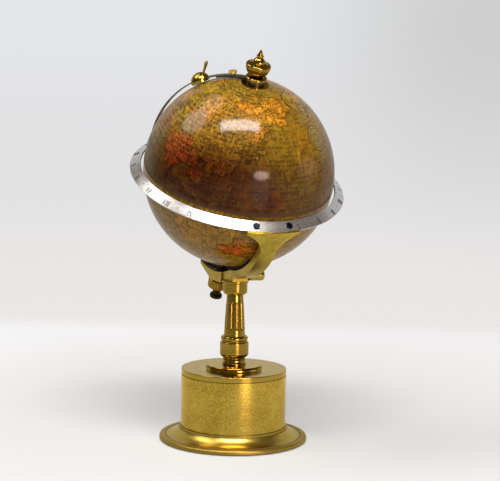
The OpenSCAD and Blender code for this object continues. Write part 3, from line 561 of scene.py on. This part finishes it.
def felt_finish():
    """Black felt, a little dusty."""
    finish, tree, shader = new_finish("black_felt")
    nap = noise(tree, place_in(tree), 2400, detail=3)
    fibres = mixed(tree, between(tree, nap, 0.35, 0.75), (0.008, 0.006, 0.004, 1), (0.03, 0.022, 0.016, 1))
    feed(tree, shader, Base_Color=fibres, Normal=bump(tree, nap, 0.2 * MM, 0.6))
    shader.inputs["Roughness"].default_value = 0.95
    shader.inputs["Specular IOR Level"].default_value = 0.1
    return finish


black_felt = felt_finish()
washer_piece = as_piece("felt_washer", spin_washer(), black_felt)
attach(washer_piece, "stand")

# A strip of the same felt is glued into the hoop below the globe, and stops just short of the
# ball. It is a black sheet that paints the shade in the gap between hoop and ball.
STRIP_IN = 63.65 * MM
STRIP_OUT = 65.75 * MM
STRIP_HALF_WIDE = 5.2 * MM
STRIP_STARTS = math.radians(14)
STRIP_ENDS = math.radians(50)
STRIP_SECTIONS = 12


def spin_strip():
    """The mesh of the strip: its end face, spun about the ball's middle from near the pole to the front."""
    mesh = bmesh.new()
    corners = [(-STRIP_HALF_WIDE, 0, -STRIP_IN), (STRIP_HALF_WIDE, 0, -STRIP_IN),
               (STRIP_HALF_WIDE, 0, -STRIP_OUT), (-STRIP_HALF_WIDE, 0, -STRIP_OUT)]
    end = mesh.faces.new([mesh.verts.new(corner) for corner in corners])
    start = Matrix.Rotation(-STRIP_STARTS, 4, "X")
    bmesh.ops.transform(mesh, matrix=start, verts=mesh.verts)
    bmesh.ops.spin(mesh, geom=[end, *end.edges, *end.verts], cent=(0, 0, 0), axis=(1, 0, 0),
                   angle=STRIP_STARTS - STRIP_ENDS, steps=STRIP_SECTIONS, use_merge=False)
    bmesh.ops.recalc_face_normals(mesh, faces=mesh.faces)
    bmesh.ops.transform(mesh, matrix=polar_frame, verts=mesh.verts)
    return mesh


shade_strip_piece = as_piece("felt_shade_strip", spin_strip(), black_felt)
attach(shade_strip_piece, "stand")

# The movement stands inside the globe, between two round plates. Its brass is grained flat and
# lacquered, so it stays brighter than the brass outside.
movement_brass = brass("movement_brass", (0.78, 0.62, 0.28), (0.6, 0.45, 0.17), clean_rough=0.24,
                       dull_rough=0.3, depth=0.003 * MM, cover=0.2, spots=300,
                       piece_frame=polar_frame, corner_shade=0.2)
dress(movement_brass, "lower_plate", "upper_plate", "plate_pillars", "mainspring_barrel", "winding_wheel",
      "centre_wheel", "intermediate_wheel", "intermediate_bridge", "escapement_case", "balance_wheel",
      "balance_cock", "day_wheel")

# The globe is a ball of pasted paper in two halves. Twelve printed and hand-tinted paper gores
# are glued over it and varnished, and the varnish has gone brown. The map is a plain one of the
# builder's own: round patches of land with rough coasts, states, a grid and illegible names, and a
# round figure of rings and crossing lines in the ocean. Dirt has darkened it towards the equator.
GLOBE_RADIUS = 63.5 * MM
MAP_TURN = 120.0
LANDS = {
    "europe": [(-5, 40, 5), (1, 47, 5), (10, 50, 8), (25, 52, 11), (22, 42, 6), (14, 42, 3), (17, 39, 2),
               (14, 62, 5), (24, 66, 5), (-3, 53, 2.6), (-4, 57, 2), (40, 57, 14), (60, 60, 16)],
    "siberia": [(80, 62, 15), (100, 63, 16), (120, 63, 15), (140, 65, 12), (160, 67, 8), (175, 67, 5),
                (159, 55, 3.5), (143, 50, 2), (130, 50, 8)],
    "inner_asia": [(36, 39, 6), (50, 36, 8), (62, 32, 8), (45, 25, 9), (52, 20, 5), (72, 44, 13),
                   (90, 42, 15), (105, 38, 14), (114, 30, 10), (118, 45, 11), (128, 38, 2.4)],
    "india": [(76, 26, 7), (80, 21, 6), (78, 14, 4.2), (88, 25, 5), (94, 23, 4.5), (97, 18, 3.6),
              (81, 7, 1.5)],
    "indies": [(103, 15, 5), (106, 20, 4), (101, 5, 2), (101, 0, 2.6), (104, -4, 2.4), (114, 1, 4.6),
               (109, -7, 1.7), (113, -8, 1.5), (120, -2, 2.4), (122, 14, 2.4), (125, 8, 2),
               (137, -4, 3.5), (144, -6, 3.2)],
    "japan": [(131, 33, 1.6), (136, 35, 2), (140, 38, 2), (143, 43, 2)],
    "africa": [(-6, 23, 11), (8, 25, 12), (24, 22, 12), (-8, 10, 6), (8, 9, 6), (20, 8, 10), (35, 9, 9),
               (46, 8, 4.5), (22, -5, 10), (31, -10, 9), (24, -22, 9), (22, -31, 4), (47, -19, 3)],
    "north_america": [(-152, 65, 8), (-158, 57, 2.5), (-132, 62, 9), (-112, 61, 12), (-98, 52, 13),
                      (-85, 50, 8), (-72, 54, 8), (-63, 53, 5), (-76, 43, 6), (-100, 40, 13),
                      (-86, 38, 9), (-113, 38, 9), (-103, 26, 6), (-98, 18, 4), (-88, 15, 3),
                      (-83, 9, 1.8), (-81, 28, 1.8), (-95, 74, 7), (-75, 69, 6), (-78, 22, 1.8)],
    "greenland": [(-42, 73, 9), (-44, 65, 4.5)],
    "south_america": [(-73, 4, 5), (-62, 4, 6), (-52, -2, 5), (-76, -5, 4), (-62, -8, 11), (-48, -11, 9),
                      (-40, -8, 4), (-57, -20, 9), (-64, -27, 7), (-62, -35, 5), (-68, -42, 4),
                      (-71, -49, 3), (-70, -53, 2)],
    "australia": [(134, -27, 6), (126, -28, 5), (142, -28, 5.5), (146, -35, 3), (141, -19, 2),
                  (132, -19, 3), (147, -42, 1.6)],
    "new_zealand": [(170, -44, 2), (175, -39, 2)],
    "southern_land": [(60, -86, 19), (-60, -84, 14)],
}
LAND_TINTS = [(0.0, (0.42, 0.25, 0.03)), (0.25, (0.44, 0.32, 0.045)), (0.5, (0.33, 0.26, 0.04)),
              (0.7, (0.42, 0.21, 0.03)), (0.85, (0.30, 0.24, 0.04))]
RED_LANDS = [(82, 22, 13), (96, 21, 6), (-98, 40, 12)]
SOUTH_RED_LANDS = [(134, -26, 12), (172, -42, 8), (25, -25, 9)]
ORANGE_LANDS = [(92, 58, 12), (128, 55, 12), (165, 62, 12), (-60, -10, 12), (20, 20, 9)]
YELLOW_LANDS = [(108, 37, 16), (118, 30, 9), (0, 45, 10), (-100, 38, 11)]
TINTED_LANDS = [(RED_LANDS, (0.80, 0.22, 0.09)), (SOUTH_RED_LANDS, (0.46, 0.09, 0.02)),
                (ORANGE_LANDS, (0.66, 0.34, 0.04)), (YELLOW_LANDS, (0.50, 0.34, 0.04))]
INK = (0.02, 0.01, 0.003, 1)
FIGURE_PLACE = (-165.4, 40.6)
FIGURE_REACH = 0.135
FIGURE_RINGS = [(1.0, 0.85), (0.78, 0.7), (0.3, 0.6)]
FIGURE_INK = (0.03, 0.018, 0.006, 1)
VARNISH = (0.84, 0.74, 0.42, 1)
DIRT = (0.21, 0.092, 0.034, 1)
DIRTIEST_PLACE = (112, 8)
PAPER_INSIDE = (0.42, 0.33, 0.2, 1)


def on_map(longitude, latitude):
    """The unit vector of a place on the map, in the globe's own frame."""
    across, up = math.radians(longitude + MAP_TURN), math.radians(latitude)
    return Vector((math.cos(up) * math.cos(across), math.cos(up) * math.sin(across), math.sin(up)))


def make_land_disc():
    """How far a place is outside a round patch of land; below zero is inside."""
    takes = {"Place": ("Vector", None), "Middle": ("Vector", (1, 0, 0)), "Reach": ("Float", 0.1),
             "Nearest": ("Float", 9.0)}
    tree, taken, given = shader_group("land_disc", takes, {"Nearest": "Float"})
    far = vector_maths(tree, "DISTANCE", taken["Place"], taken["Middle"], output="Value")
    beyond = maths(tree, "SUBTRACT", far, taken["Reach"])
    tree.links.new(maths(tree, "SMOOTH_MIN", beyond, taken["Nearest"], 0.03), given["Nearest"])
    return tree


land_disc = make_land_disc()


def nearest_land(tree, place, discs):
    """How far a place is outside all of these discs."""
    nearest = 9.0
    for longitude, latitude, size in discs:
        inputs = {"Place": place, "Middle": on_map(longitude, latitude),
                  "Reach": 2 * math.sin(math.radians(size) / 2), "Nearest": nearest}
        nearest = use_group(tree, land_disc, inputs)["Nearest"]
    return nearest


def grid_line(tree, degrees, step, width):
    """A fine line at each whole step of degrees, width degrees wide."""
    part = maths(tree, "PINGPONG", degrees, step / 2)
    return between(tree, part, width, width * 0.3)


def winding_lines(tree, place, scale, width):
    """Thin winding lines, like rivers and roads."""
    cloud = noise(tree, place, scale, detail=3, roughness=0.5)
    off = maths(tree, "ABSOLUTE", maths(tree, "SUBTRACT", cloud, 0.5))
    return between(tree, off, width, width * 0.3)


def names(tree, across, latitude, row, letter, wanted):
    """Rows of strokes like small print, with words and gaps; row and letter are in degrees."""
    line = maths(tree, "FLOOR", maths(tree, "DIVIDE", latitude, row))
    level = maths(tree, "FRACT", maths(tree, "DIVIDE", latitude, row))
    shrink = maths(tree, "COSINE", times(tree, line, math.radians(row)))
    along = times(tree, across, shrink)
    column = maths(tree, "FLOOR", maths(tree, "DIVIDE", along, letter))
    cell = put(tree, "CombineXYZ", {0: column, 1: line}).outputs[0]
    chance = put(tree, "TexWhiteNoise", {"Vector": cell}, noise_dimensions="2D").outputs["Value"]
    word = put(tree, "CombineXYZ", {0: maths(tree, "DIVIDE", along, letter * 9),
                                    1: times(tree, line, 3.7)}).outputs[0]
    worded = between(tree, noise(tree, word, 1.0, detail=1), wanted, wanted + 0.03)
    tall = maths(tree, "ADD", times(tree, chance, 0.35), 0.5)
    inside = times(tree, maths(tree, "LESS_THAN", level, tall),
                   maths(tree, "GREATER_THAN", level, 0.22))
    inked = maths(tree, "GREATER_THAN", chance, 0.45)
    return times(tree, times(tree,inside, inked), worded)


def map_finish():
    """The varnished map: tinted lands and seas, then ink, the figure, varnish, dirt and the gores' seams.
    Inside the shell it is bare paper."""
    finish, tree, shader = new_finish("varnished_map")
    place = place_in(tree, polar_frame)
    unit = vector_maths(tree, "NORMALIZE", place)
    apart = put(tree, "SeparateXYZ", {0: unit}).outputs
    latitude = maths(tree, "DEGREES", maths(tree, "ARCSINE", apart[2]))
    longitude = maths(tree, "DEGREES", maths(tree, "ARCTAN2", apart[1], apart[0]))

    coast_noise = noise(tree, unit, 5.5, 5, 0.62, "Color")
    rough_coast = vector_maths(tree, "SUBTRACT", coast_noise, (0.5, 0.5, 0.5))
    shift = put(tree, "VectorMath", {0: rough_coast, 3: 0.2}, operation="SCALE").outputs[0]
    coast_place = vector_maths(tree, "ADD", unit, shift)

    every_disc = [disc for discs in LANDS.values() for disc in discs]
    land = nearest_land(tree, coast_place, every_disc)
    is_land = between(tree, land, 0.002, -0.002)
    coast_line = between(tree, maths(tree, "ABSOLUTE", land), 0.011, 0.004)
    sea_lines = times(tree, between(tree, land, 0.035, 0.006),
                      grid_line(tree, latitude, 1.1, 0.16))
    sea_lines = times(tree, sea_lines, maths(tree, "SUBTRACT", 1.0, is_land))

    cells = put(tree, "TexVoronoi", {"Vector": coast_place, "Scale": 6.0})
    edges = put(tree, "TexVoronoi", {"Vector": coast_place, "Scale": 6.0}, feature="DISTANCE_TO_EDGE")
    picked = put(tree, "SeparateColor", {0: cells.outputs["Color"]}).outputs[0]
    tints = put(tree, "ValToRGB", {0: picked})
    tints.color_ramp.interpolation = "CONSTANT"
    elements = tints.color_ramp.elements
    for index, (stop, tint) in enumerate(LAND_TINTS):
        element = elements[index] if index < 2 else elements.new(stop)
        element.position = stop
        element.color = (*tint, 1)
    lands = tints.outputs[0]
    for discs, colour in TINTED_LANDS:
        inside = between(tree, nearest_land(tree, coast_place, discs), 0.03, -0.03)
        lands = mixed(tree, times(tree, inside, 0.85), lands, (*colour, 1))
    borders = times(tree, between(tree, edges.outputs["Distance"], 0.045, 0.018), is_land)

    fibre = noise(tree, unit, 60, detail=6, roughness=0.7)
    cloud = noise(tree, unit, 2.6, detail=5, roughness=0.6)
    sea = mixed(tree, between(tree, cloud, 0.35, 0.65), (0.29, 0.18, 0.02, 1), (0.22, 0.155, 0.018, 1))
    colour = mixed(tree, is_land, sea, lands)
    colour = mixed(tree, between(tree, latitude, 70.0, 80.0), colour, (0.30, 0.23, 0.04, 1))
    stain = between(tree, noise(tree, unit, 4.2, detail=5, roughness=0.6), 0.44, 0.6)
    colour = mixed(tree, times(tree, stain, 0.55), colour, (0.28, 0.22, 0.03, 1))
    glow = between(tree, noise(tree, coast_place, 3.4, detail=4, roughness=0.6), 0.56, 0.66)
    colour = mixed(tree, times(tree, glow, 0.4), colour, (0.5, 0.27, 0.03, 1))
    blotch = between(tree, noise(tree, unit, 13, detail=6, roughness=0.65), 0.3, 0.7)
    aged = mixed(tree, blotch, (0.58, 0.52, 0.42, 1), (1.1, 1.08, 1.0, 1))
    colour = mixed(tree, 0.75, colour, aged, "MULTIPLY")

    small_print = names(tree, longitude, latitude, 2.6, 0.75, 0.46)
    large_print = names(tree, longitude, latitude, 5.6, 1.3, 0.58)
    rivers = maths(tree, "MAXIMUM", winding_lines(tree, coast_place, 7.0, 0.022),
                   times(tree, winding_lines(tree, coast_place, 15.0, 0.036), 0.85))
    rivers = times(tree, rivers, between(tree, is_land, 0.0, 1.0, 0.5, 0.95))
    land_print = times(tree, small_print, between(tree, is_land, 0.0, 1.0, 0.7, 0.95))
    ink = maths(tree, "MAXIMUM", coast_line, times(tree, sea_lines, 0.6))
    for drawing, strength in [(borders, 0.75), (grid_line(tree, longitude, 10.0, 0.36), 0.75),
                              (grid_line(tree, latitude, 10.0, 0.34), 0.65), (large_print, 0.6)]:
        ink = maths(tree, "MAXIMUM", ink, times(tree, drawing, strength))
    ink = maths(tree, "MAXIMUM", ink, land_print)
    ink = maths(tree, "MAXIMUM", ink, rivers)
    faded = between(tree, fibre, 0.25, 0.6, 0.4, 0.9)
    colour = mixed(tree, times(tree, ink, faded), colour, INK)

    figure = vector_maths(tree, "DISTANCE", unit, on_map(*FIGURE_PLACE), output="Value")
    in_figure = between(tree, figure, FIGURE_REACH + 0.004, FIGURE_REACH - 0.004)
    colour = mixed(tree, in_figure, colour, (0.22, 0.185, 0.045, 1))
    for part, strength in FIGURE_RINGS:
        off = maths(tree, "ABSOLUTE", maths(tree, "SUBTRACT", figure, FIGURE_REACH * part))
        drawn = times(tree, between(tree, off, 0.009, 0.003), strength)
        colour = mixed(tree, drawn, colour, FIGURE_INK)
    crossing = maths(tree, "MAXIMUM", grid_line(tree, longitude, 5.0, 0.5),
                     grid_line(tree, latitude, 3.6, 0.36))
    in_middle = between(tree, figure, FIGURE_REACH * 0.72, FIGURE_REACH * 0.66)
    crossing = times(tree, crossing, in_middle)
    colour = mixed(tree, times(tree, crossing, 0.55), colour, FIGURE_INK)
    colour = mixed(tree, 1.0, colour, VARNISH, "MULTIPLY")

    dirt_near = vector_maths(tree, "DISTANCE", unit, on_map(*DIRTIEST_PLACE), output="Value")
    dirt = maths(tree, "ADD", times(tree, between(tree, dirt_near, 1.0, 0.25), 0.6),
                 between(tree, latitude, 56.0, 6.0, 0.0, 0.66), clamp=True)
    dirt = times(tree, dirt, between(tree, latitude, -1.0, 1.0))
    dirt = times(tree, dirt, between(tree, cloud, 0.2, 0.55, 0.75, 1.0))
    colour = mixed(tree, dirt, colour, DIRT, "MULTIPLY")
    rubbed = between(tree, maths(tree, "ABSOLUTE", maths(tree, "SUBTRACT", latitude, 0.6)), 2.2, 0.4)
    colour = mixed(tree, times(tree, rubbed, 0.75), colour, (0.05, 0.028, 0.012, 1))

    seam = grid_line(tree, longitude, 30.0, 0.3)
    colour = mixed(tree, times(tree, seam, 0.35), colour, (0.09, 0.05, 0.02, 1))
    out = vector_maths(tree, "LENGTH", place, output="Value")
    outside = maths(tree, "GREATER_THAN", out, GLOBE_RADIUS - 0.5 * MM)
    colour = mixed(tree, outside, PAPER_INSIDE, colour)

    crackle = noise(tree, unit, 110, detail=4, roughness=0.6)
    height = maths(tree, "ADD", times(tree, crackle, 0.5), times(tree, ink, -0.25))
    height = maths(tree, "ADD", height, times(tree, seam, 0.5))
    normal = bump(tree, height, 0.05 * MM, 0.55)
    feed(tree, shader, Base_Color=colour, Normal=normal, Coat_Normal=normal,
         Coat_Weight=between(tree, dirt, 0.2, 1.0, 0.42, 0.13),
         Roughness=between(tree, blotch, 0.0, 1.0, 0.42, 0.55))
    shader.inputs["Specular IOR Level"].default_value = 0.05
    shader.inputs["Coat Roughness"].default_value = 0.07
    shader.inputs["Coat Tint"].default_value = (1.0, 0.93, 0.8, 1)
    return finish


dress(map_finish(), "globe_north", "globe_south")

# The pointer arc is a thin strip of hard brass that has darkened. Its inner length, a washer and
# a thumb screw stiffen it at the pole.
ARC_BEARING = math.radians(133.7)
ARC_DROP = 0.9 * MM
SCREW_BRIGHT = (0.58, 0.42, 0.10)
SCREW_DULL = (0.36, 0.24, 0.045)
SCREW_FROM_POLE = 14


def arc_frame(degrees):
    """A place on the arc, so many degrees from the pole: z away from the globe's centre."""
    turn = Matrix.Rotation(ARC_BEARING, 4, "Z") @ Matrix.Rotation(math.radians(degrees), 4, "Y")
    return polar_frame @ Matrix.Translation((0, 0, -ARC_DROP)) @ turn


arc_brass = satin_finish("darkened_brass", (0.10, 0.08, 0.045), (0.05, 0.038, 0.02), arc_frame(0))
dress(arc_brass, "pointer_arc", "arc_root", "arc_spacer")
screw_brass = brass("thumb_screw_brass", SCREW_BRIGHT, SCREW_DULL, clean_rough=0.2, dull_rough=0.34,
                    depth=0.002 * MM, cover=0.4, piece_frame=arc_frame(SCREW_FROM_POLE))
dress(screw_brass, "arc_screw")

# The slider is a split brass bead that pinches the arc, and is moved by its little lever. Its dome
# rides above the strip and its shoe below it.
SLIDER_FROM_POLE = 35.5
slider_brass = brass("slider_brass", COLUMN_BRIGHT, COLUMN_DULL, clean_rough=0.2, dull_rough=0.34,
                     depth=0.002 * MM, piece_frame=arc_frame(SLIDER_FROM_POLE))
dress(slider_brass, "slider_dome", "slider_shoe", "slider_lever")

# The finial is an urn with a pointed tip, turned from one piece of brass and polished. It screws
# down on the stud at the pole and clamps the arc.
finial_brass = brass("finial_brass", COLUMN_BRIGHT, COLUMN_DULL, clean_rough=0.16, dull_rough=0.32,
                     depth=0.004 * MM, piece_frame=polar_frame)
dress(finial_brass, "finial")

# The object stands on a pale table whose back edge fades into a pale backdrop, in a dim studio with
# soft lamps: a long one overhead in front, two at the left, a small low one in front and a weak one
# at the right. Metal sees a painted glint in the table, a warm patch that glows for reflections only.
BACKDROP_LOW = (0.83, 0.80, 0.78, 1)
BACKDROP_MIDDLE = (0.76, 0.755, 0.77, 1)
BACKDROP_HIGH = (0.775, 0.79, 0.81, 1)
BACKDROP_SHADED_CORNER = (0.62, 0.62, 0.62, 1)
BACKDROP_SHADED_CORNER_WAY = Vector((0.526, 0.85, 0.043)).normalized()
TABLE_FADES = (1.0, 1.5)
TABLE_BACK = (0.42, 0.52)
TABLE_SHADED_NEAR_MIRRORED = (0.72, 0.70, 0.66, 1)
TABLE_FAR_MIRRORED = (0.86, 0.84, 0.80, 1)
LOW_LAMP_BEARING = 3.5
PAINTED_GLINT_COLOUR = (4.6, 3.5, 2.85, 1)
PAINTED_GLINT_STARTS = 0.19
PAINTED_GLINT_FULL = 0.4
LAMP_WHITE = (1.0, 0.98, 0.95)
ROOM_RADIUS = 2.2
ROOM_HEIGHT = 1.9
ROOM_LOW = -0.6
ROOM_TURN = 230
CAMERA_BEARING = -22.7


def seen_or_mirrored(tree):
    """1 for what the camera sees straight or in metal or glass."""
    path = put(tree, "LightPath").outputs
    both = maths(tree, "ADD", path["Is Camera Ray"], path["Is Glossy Ray"])
    return maths(tree, "ADD", both, path["Is Transmission Ray"], clamp=True)


def level_way(bearing):
    """The level way at a bearing, in degrees from the front towards the right."""
    turn = math.radians(bearing)
    return Vector((math.sin(turn), -math.cos(turn), 0))


def make_table():
    """The pale table top, which keeps the object's shadow."""
    mesh = bmesh.new()
    bmesh.ops.create_circle(mesh, cap_ends=True, radius=TABLE_FADES[1], segments=96)
    paper = bpy.data.materials.new("table_paper")
    paper.use_nodes = True
    tree = paper.node_tree
    tree.nodes.clear()
    place = place_in(tree)
    out = vector_maths(tree, "LENGTH", place, output="Value")
    # Painted light: the table is paler away from the object, both lit and glowing.
    outer = between(tree, out, 0.12, 0.5)
    white = mixed(tree, noise(tree, place, 9, detail=3), (0.57, 0.575, 0.58, 1), (0.60, 0.605, 0.61, 1))
    white = mixed(tree, outer, white, (0.81, 0.825, 0.85, 1))
    shine = mixed(tree, outer, (0.84, 0.85, 0.86, 1), (0.96, 0.975, 1.0, 1))
    lit = put(tree, "BsdfDiffuse", {"Color": white}).outputs[0]
    pale = put(tree, "Emission", {"Color": shine, "Strength": 1.0}).outputs[0]
    path = put(tree, "LightPath").outputs
    seen = times(tree, path["Is Camera Ray"], 0.3)
    shown = put(tree, "MixShader", {0: seen, 1: lit, 2: pale}).outputs[0]
    # Painted shade: in reflections the table is darker near the object.
    mirrored = mixed(tree, between(tree, out, 0.06, 0.2), TABLE_SHADED_NEAR_MIRRORED, TABLE_FAR_MIRRORED)
    along = vector_maths(tree, "DOT_PRODUCT", vector_maths(tree, "NORMALIZE", place),
                         level_way(LOW_LAMP_BEARING), output="Value")
    # Painted glint: a warm patch of the table that glows for metal only.
    painted_glint = times(tree, between(tree, along, 0.983, 0.992),
                  between(tree, out, PAINTED_GLINT_STARTS, PAINTED_GLINT_FULL))
    mirrored = mixed(tree, painted_glint, mirrored, PAINTED_GLINT_COLOUR)
    dim = put(tree, "Emission", {"Color": mirrored, "Strength": 1.0}).outputs[0]
    table = put(tree, "MixShader", {0: path["Is Glossy Ray"], 1: shown, 2: dim}).outputs[0]
    behind = vector_maths(tree, "DOT_PRODUCT", place, -level_way(CAMERA_BEARING), output="Value")
    far = maths(tree, "MAXIMUM", between(tree, out, *TABLE_FADES), between(tree, behind, *TABLE_BACK))
    clear = put(tree, "BsdfTransparent").outputs[0]
    faded = put(tree, "MixShader", {0: far, 1: table, 2: clear}).outputs[0]
    put(tree, "OutputMaterial", {"Surface": faded})
    as_piece("table", mesh, paper)


def make_room():
    """The dark studio in front of the object and above it, seen only in reflections."""
    mesh = bmesh.new()
    low = mesh.verts.new((0, -ROOM_RADIUS, ROOM_LOW))
    edge = mesh.edges.new((low, mesh.verts.new((0, -ROOM_RADIUS, ROOM_HEIGHT))))
    start = Matrix.Rotation(math.radians(CAMERA_BEARING - ROOM_TURN / 2), 4, "Z")
    bmesh.ops.transform(mesh, matrix=start, verts=mesh.verts)
    bmesh.ops.spin(mesh, geom=[edge, *edge.verts], cent=(0, 0, 0), axis=(0, 0, 1),
                   angle=math.radians(ROOM_TURN), steps=46, use_merge=False)
    ceiling = Matrix.Translation((0, 0, ROOM_HEIGHT))
    bmesh.ops.create_circle(mesh, cap_ends=True, radius=ROOM_RADIUS, segments=72, matrix=ceiling)
    dark, tree, shader = new_finish("room_dark")
    # The cloth also glows with its own colour, a painted glow that brightens the metal's reflections.
    cloth = mixed(tree, noise(tree, place_in(tree), 2.0), (0.06, 0.048, 0.036, 1), (0.15, 0.125, 0.10, 1))
    feed(tree, shader, Base_Color=cloth, Emission_Color=cloth)
    shader.inputs["Emission Strength"].default_value = 1.0
    shader.inputs["Roughness"].default_value = 1.0
    room = as_piece("room", mesh, dark)
    room.visible_camera = False


def make_world():
    """A pale backdrop with painted shade towards one upper corner, and a dim even light from all round."""
    world = bpy.data.worlds.new("studio")
    bpy.context.scene.world = world
    world.use_nodes = True
    tree = world.node_tree
    tree.nodes.clear()
    way = put(tree, "TexCoord").outputs["Generated"]
    level = put(tree, "SeparateXYZ", {0: way}).outputs[2]
    colour = mixed(tree, between(tree, level, -0.16, -0.05), BACKDROP_LOW, BACKDROP_MIDDLE)
    colour = mixed(tree, between(tree, level, -0.05, 0.06), colour, BACKDROP_HIGH)
    # Painted shade on the backdrop towards that corner.
    corner = vector_maths(tree, "DISTANCE", way, BACKDROP_SHADED_CORNER_WAY, output="Value")
    colour = mixed(tree, between(tree, corner, 0.17, 0.0), colour, BACKDROP_SHADED_CORNER)
    seen = put(tree, "Background", {"Color": colour, "Strength": 1.0}).outputs[0]
    dim = put(tree, "Background", {"Color": (0.82, 0.83, 0.86, 1), "Strength": 0.45}).outputs[0]
    both = put(tree, "MixShader", {0: seen_or_mirrored(tree), 1: dim, 2: seen}).outputs[0]
    put(tree, "OutputWorld", {"Surface": both})


def lamp(name, bearing, height, distance, wide, high, glow, colour, shape="ELLIPSE"):
    """A soft lamp that looks at the globe: its bearing and its height above the horizon in degrees,
    its distance and two sizes in metres, how brightly it glows and its colour."""
    lift = math.radians(height)
    way = level_way(bearing) * math.cos(lift) + Vector((0, 0, math.sin(lift)))
    light = bpy.data.lights.new(name, "AREA")
    light.shape = shape
    light.size, light.size_y = wide, high
    light.energy = glow * wide * high * math.pi
    light.color = colour
    made = bpy.data.objects.new(name, light)
    bpy.context.scene.collection.objects.link(made)
    made.rotation_euler = way.to_track_quat("Z", "Y").to_euler()
    made.location = globe_centre + way * distance
    made.visible_camera = False


make_table()
make_room()
make_world()
lamp("top_lamp", bearing=-21.7, height=58.3, distance=1.2, wide=0.86, high=0.27, glow=28.0,
     colour=LAMP_WHITE, shape="RECTANGLE")
lamp("left_lamp", bearing=-108.0, height=48.0, distance=1.6, wide=0.8, high=0.7, glow=5.0,
     colour=(1.0, 0.97, 0.93))
lamp("high_lamp", bearing=-128.0, height=66.0, distance=1.4, wide=0.7, high=0.5, glow=2.4,
     colour=LAMP_WHITE)
lamp("low_lamp", bearing=LOW_LAMP_BEARING, height=-1.4, distance=1.1, wide=0.33, high=0.18, glow=36.0,
     colour=(1.0, 0.74, 0.64))
lamp("right_lamp", bearing=66.0, height=2.0, distance=1.4, wide=0.9, high=0.5, glow=0.8,
     colour=LAMP_WHITE)

CAMERA_AT = Vector((-363.5, -893.8, 238.4)) * MM
CAMERA_WAY = Vector((0.38351, 0.91739, -0.10640)).normalized()
CAMERA_ROLL = 0.017415
IMAGE_WIDE = 500
FOCAL_PIXELS = 1450.0


def make_camera():
    """The camera at the photograph's place."""
    camera = bpy.data.cameras.new("camera")
    camera.sensor_width = 36.0
    camera.lens = FOCAL_PIXELS / IMAGE_WIDE * camera.sensor_width
    camera.clip_start, camera.clip_end = 0.01, 50.0
    made = bpy.data.objects.new("camera", camera)
    bpy.context.scene.collection.objects.link(made)
    level_right = CAMERA_WAY.cross(Vector((0, 0, 1))).normalized()
    level_up = level_right.cross(CAMERA_WAY)
    right = level_right * math.cos(CAMERA_ROLL) + level_up * math.sin(CAMERA_ROLL)
    up = level_up * math.cos(CAMERA_ROLL) - level_right * math.sin(CAMERA_ROLL)
    turned = Matrix((right, up, -CAMERA_WAY)).transposed()
    made.rotation_euler = turned.to_euler()
    made.location = CAMERA_AT
    bpy.context.scene.camera = made


make_camera()
bpy.context.scene.view_settings.view_transform = "Standard"
